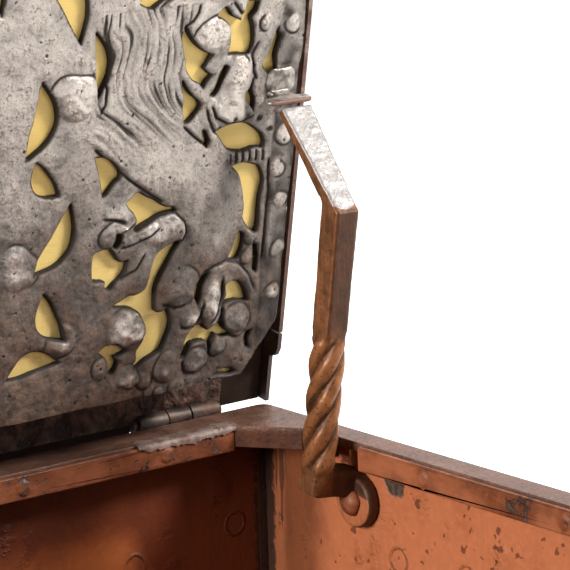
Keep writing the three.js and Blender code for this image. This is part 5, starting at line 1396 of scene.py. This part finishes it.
# The catch, in lid millimetres: the bar's half length, half depth, height and edge, and its middle.
CATCH_BAR = (14.2, 3.9, 2.7, 1.0)
CATCH_BAR_AT = (-1.5, -190.25, -47.3)


def make_catch(sizes):
    """The catch: a forged bar with round ends over the prop's tip, its neck and its hammered foot."""
    middle = PROP_MIDDLE / MM
    aside, low, out = CATCH_BAR_AT
    bar = []
    for ring in stadium(*CATCH_BAR):
        bar.append([(middle + aside + x, low - level, out + z) for x, z, level in ring])
    neck = [
        [(middle + 0.5 + x, -191.9 + y, z) for x, y in rounded_ring(wide, high, 0.9, 0.0)]
        for z, wide, high in ((-33.4, 15.0, 3.2), (-36.6, 13.0, 3.0), (-39.5, 10.6, 2.4), (-46.0, 11.4, 2.2))
    ]
    foot = []
    for rise, grow in ((0.0, 0.0), (0.9, -0.3), (1.6, -1.6), (1.9, -3.2)):
        ring = []
        for x, y in rounded_ring(18.0 + 2 * grow, 14.0 + 2 * grow, 4.0, 0.0):
            ring.append((middle + 1.8 + x, -198.2 + y, -35.5 - rise))
        foot.append(ring)
    points, faces = joined_parts([closed_tube(bar), closed_tube(neck), closed_tube(foot)])
    points, faces, normals = melted(points, faces, 0.42, 1)
    wave = noise_at(points, 6.5, sizes.seed + 40) * 0.32 + noise_at(points, 2.4, sizes.seed + 41) * 0.13
    wave *= 0.45 + 0.75 * step(-points[:, 1], 192.5, 195.0)
    points = points + normals * wave[:, None]
    front = step(-points[:, 2], 48.9, 50.8)
    piece = new_piece(
        "prop_catch_forged", from_lid(points), faces, finish(catch_steel), "lid", 60.0,
        {"front": front},
    )
    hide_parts("prop_catch")


# The roll: its half length, its radius and where its middle lies in the lid, in millimetres.
ROLL_HALF_LENGTH = 224.0
ROLL_RADIUS = 1.75
ROLL_MIDDLE = (3.0, 1.2)


def make_rear_roll(sizes):
    """The rolled rear edge of the lid's plate between the hinges."""
    rings = []
    for x in np.linspace(-ROLL_HALF_LENGTH, ROLL_HALF_LENGTH, 180):
        dent = noise.noise(Vector((x / 16.0, 2.0, sizes.seed)))
        rings.append(circle(x, ROLL_RADIUS + 0.12 * dent, 14, ROLL_MIDDLE))
    points, faces = closed_tube(rings)
    new_piece("lid_rear_roll", from_lid(points), faces, finish(forged_iron), "lid", 60.0)


# The lid's scale: its base, its half width and where it starts and ends from the axis, in millimetres.
SCALE_BASE = -0.62
SCALE_HALF_WIDTH = 283.0
SCALE_START, SCALE_END = 1.5, 34.0
SCALE_LOWEST = 0.02


def make_lid_scale(sizes):
    """Rusty scale on the lid's plate between the lock and the hinges."""
    reach = min(-into_lid(corners_of("lid_plate"))[:, 1].min(), SCALE_END)
    across = np.linspace(-SCALE_HALF_WIDTH, SCALE_HALF_WIDTH, 630)
    along = np.linspace(SCALE_START, reach, 54)
    grid = np.stack(np.meshgrid(across, along), -1).reshape(-1, 2)
    flat = np.column_stack([grid, np.zeros(len(grid))])
    lumps = noise_at(flat, 11.0, sizes.seed + 31) * 0.7 + noise_at(flat, 4.0, sizes.seed + 32) * 0.4
    border = np.minimum(1.0, np.minimum(grid[:, 1] - SCALE_START, reach - grid[:, 1]) / 2.0)
    height = np.clip(0.06 + 0.28 * (lumps * 0.5 + 0.5), SCALE_LOWEST, 0.36) * border
    # worn flat where the lid comes down on the torn leaves
    x = np.abs(grid[:, 0])
    worn = window(x, 196, 202, 274, 280) * step(grid[:, 1], 13, 17)
    height = height * (1 - worn) + SCALE_LOWEST * worn * border
    points = np.column_stack([grid[:, 0], -grid[:, 1], SCALE_BASE - height])
    faces = np.stack(quads_of(np.arange(len(grid)).reshape(len(along), len(across))), 1)
    new_piece(
        "lid_scale", from_lid(points), faces.tolist(), finish(rusty_scale), "lid", 60.0,
        {"raised": step(lumps, 0.1, 0.7)},
    )


# CAD nodes


PAINTED_STRIPS = ("rim_strip_right", "rim_strip_left", "rim_strip_front", "rim_strip_rear")
LID_EDGES = ("lid_edge_front", "lid_edge_left", "lid_edge_right")


def dress_nodes():
    """Gives every CAD node the finish of its slot."""
    for row in frame["record"]["subparts"]:
        data = frame["nodes"][row["node"]].data
        maker = FINISH_OF_SLOT[row["material_slot"]]
        if row["node"] in PAINTED_STRIPS:
            maker = strip_paint
        if row["node"] in LID_EDGES:
            maker = lid_edge_iron
        if row["node"] == "lid_plate":
            maker = lid_plate_iron
        data.materials.clear()
        data.materials.append(finish(maker))


def round_edges(width):
    """Rounds the shown nodes' edges as a hammer and wear do."""
    for node in frame["nodes"].values():
        if node.hide_render:
            continue
        weld = node.modifiers.new("weld", "WELD")
        weld.merge_threshold = 0.00002
        bevel = node.modifiers.new("worn_edges", "BEVEL")
        bevel.width = width
        bevel.segments = 2
        bevel.limit_method = "ANGLE"
        bevel.angle_limit = math.radians(32.0)
        bevel.use_clamp_overlap = True
        bevel.harden_normals = False
        even = node.modifiers.new("even_light", "WEIGHTED_NORMAL")
        even.keep_sharp = False
        even.weight = 60


# Stage


def facing(place, back, roll=0.0):
    turn = back.to_track_quat("Z", "Y") @ Matrix.Rotation(roll, 3, "Z").to_quaternion()
    return Matrix.Translation(place) @ turn.to_matrix().to_4x4()


def add_camera():
    turn, rise = math.radians(-VIEW_TURN), math.radians(VIEW_RISE)
    back = Vector((math.sin(turn) * math.cos(rise), -math.cos(turn) * math.cos(rise), math.sin(rise)))
    camera = add_object("camera", bpy.data.cameras.new("camera"))
    camera.matrix_world = facing(Vector(VIEW_PLACE), back, math.radians(VIEW_ROLL))
    camera.data.sensor_width = SENSOR
    camera.data.lens = VIEW_LENS
    camera.data.clip_start, camera.data.clip_end = 0.05, 100.0
    bpy.context.scene.camera = camera


def add_light(name, place, target, size, power, colour=(1.0, 1.0, 1.0)):
    data = bpy.data.lights.new(name, "AREA")
    data.shape = "RECTANGLE"
    data.size, data.size_y = size
    data.energy = power
    data.color = colour
    light = add_object(name, data)
    place = Vector(place)
    light.matrix_world = facing(place, place - Vector(target))


def add_floor():
    mesh = bpy.data.meshes.new("floor")
    reach = 40.0
    corners = [(-reach, -reach, 0), (reach, -reach, 0), (reach, reach, 0), (-reach, reach, 0)]
    mesh.from_pydata(corners, [], [(0, 1, 2, 3)])
    floor = add_object("floor", mesh)
    f = Finish("pale_floor")
    # paler far from the box, so that the box stands before white but isn't lit much from below
    x, y, _ = f.axes(f.place())
    glow = f.blend(away_from(x, y, 0.0, 0.0).step(0.75, 1.55), (0.06, 0.06, 0.06), (1.0, 1.0, 1.0))
    emission = {"Emission Color": glow, "Emission Strength": 1.0}
    mesh.materials.append(f.surface((0.62, 0.62, 0.62), 0.8, 0.0, **emission))


def light_world():
    world = bpy.data.worlds.new("studio")
    world.use_nodes = True
    background = world.node_tree.nodes["Background"]
    background.inputs["Color"].default_value = (1.0, 1.0, 1.0, 1.0)
    background.inputs["Strength"].default_value = 0.20
    bpy.context.scene.world = world


# Operators


class STRONGBOX_OT_stage(bpy.types.Operator):
    """Add the floor, the soft light and the photograph's camera"""

    bl_idname = "strongbox.stage"
    bl_label = "Stage"

    def execute(self, context):
        add_floor()
        light_world()
        add_light("key_left", (-2.7, -0.30, 1.30), (0.2, 0.1, 0.4), (1.1, 1.1), 112, (1.0, 0.975, 0.94))
        lid_middle = Vector((0.22, 0.12, 0.50))
        over = lid_middle + 3.0 * Vector((0.630, -0.560, 0.538))
        add_light("key_right", over, lid_middle, (0.65, 0.65), 118, (1.0, 0.985, 0.96))
        add_light("fill_front", (0.3, -3.0, 1.2), (0.1, 0.1, 0.4), (2.4, 1.4), 3)
        add_light("back_right", (2.2, 1.8, 1.8), (0.0, 0.0, 0.3), (1.6, 1.2), 26)
        add_camera()
        context.scene.view_settings.view_transform = "Standard"
        return {"FINISHED"}


class STRONGBOX_OT_lock_cover(bpy.types.Operator):
    """Make the chased lock cover with its bosses, creases and worn edges"""

    bl_idname = "strongbox.lock_cover"
    bl_label = "Lock cover"

    def execute(self, context):
        make_cover(context.scene.strongbox_sizes)
        return {"FINISHED"}


class STRONGBOX_OT_prop(bpy.types.Operator):
    """Make the forged prop with its twist, polished blade, arm and eye, its rivet head and its catch"""

    bl_idname = "strongbox.prop"
    bl_label = "Prop"

    def execute(self, context):
        make_prop(context.scene.strongbox_sizes)
        make_rivet_head()
        make_catch(context.scene.strongbox_sizes)
        return {"FINISHED"}


class STRONGBOX_OT_worn_sheet(bpy.types.Operator):
    """Make the torn hinge leaves on the rim, and the scale and the rolled rear edge of the lid's plate"""

    bl_idname = "strongbox.worn_sheet"
    bl_label = "Worn sheet"

    def execute(self, context):
        make_torn_leaf(context.scene.strongbox_sizes)
        make_lid_scale(context.scene.strongbox_sizes)
        make_rear_roll(context.scene.strongbox_sizes)
        return {"FINISHED"}


class STRONGBOX_OT_finishes(bpy.types.Operator):
    """Give every solid of the frame its finish and rounded edges"""

    bl_idname = "strongbox.finishes"
    bl_label = "Finishes"

    def execute(self, context):
        dress_nodes()
        round_edges(context.scene.strongbox_sizes.edge_round)
        return {"FINISHED"}


class STRONGBOX_PT_panel(bpy.types.Panel):
    bl_label = "Strongbox"
    bl_space_type = "VIEW_3D"
    bl_region_type = "UI"
    bl_category = "Strongbox"

    def draw(self, context):
        for group in (context.scene.strongbox_sizes, context.scene.strongbox_colours):
            for name in group.__annotations__:
                self.layout.prop(group, name)
        for operator in OPERATORS:
            self.layout.operator(operator.bl_idname)


OPERATORS = [
    STRONGBOX_OT_stage,
    STRONGBOX_OT_lock_cover,
    STRONGBOX_OT_prop,
    STRONGBOX_OT_worn_sheet,
    STRONGBOX_OT_finishes,
]
CLASSES = [StrongboxSizes, StrongboxColours, *OPERATORS, STRONGBOX_PT_panel]


def register():
    for made in CLASSES:
        bpy.utils.register_class(made)
    bpy.types.Scene.strongbox_sizes = PointerProperty(type=StrongboxSizes)
    bpy.types.Scene.strongbox_colours = PointerProperty(type=StrongboxColours)


def unregister():
    del bpy.types.Scene.strongbox_colours
    del bpy.types.Scene.strongbox_sizes
    for made in reversed(CLASSES):
        bpy.utils.unregister_class(made)


def main():
    register()
    bpy.ops.strongbox.stage()
    bpy.ops.strongbox.lock_cover()
    bpy.ops.strongbox.prop()
    bpy.ops.strongbox.worn_sheet()
    bpy.ops.strongbox.finishes()


if __name__ == "__main__":
    main()
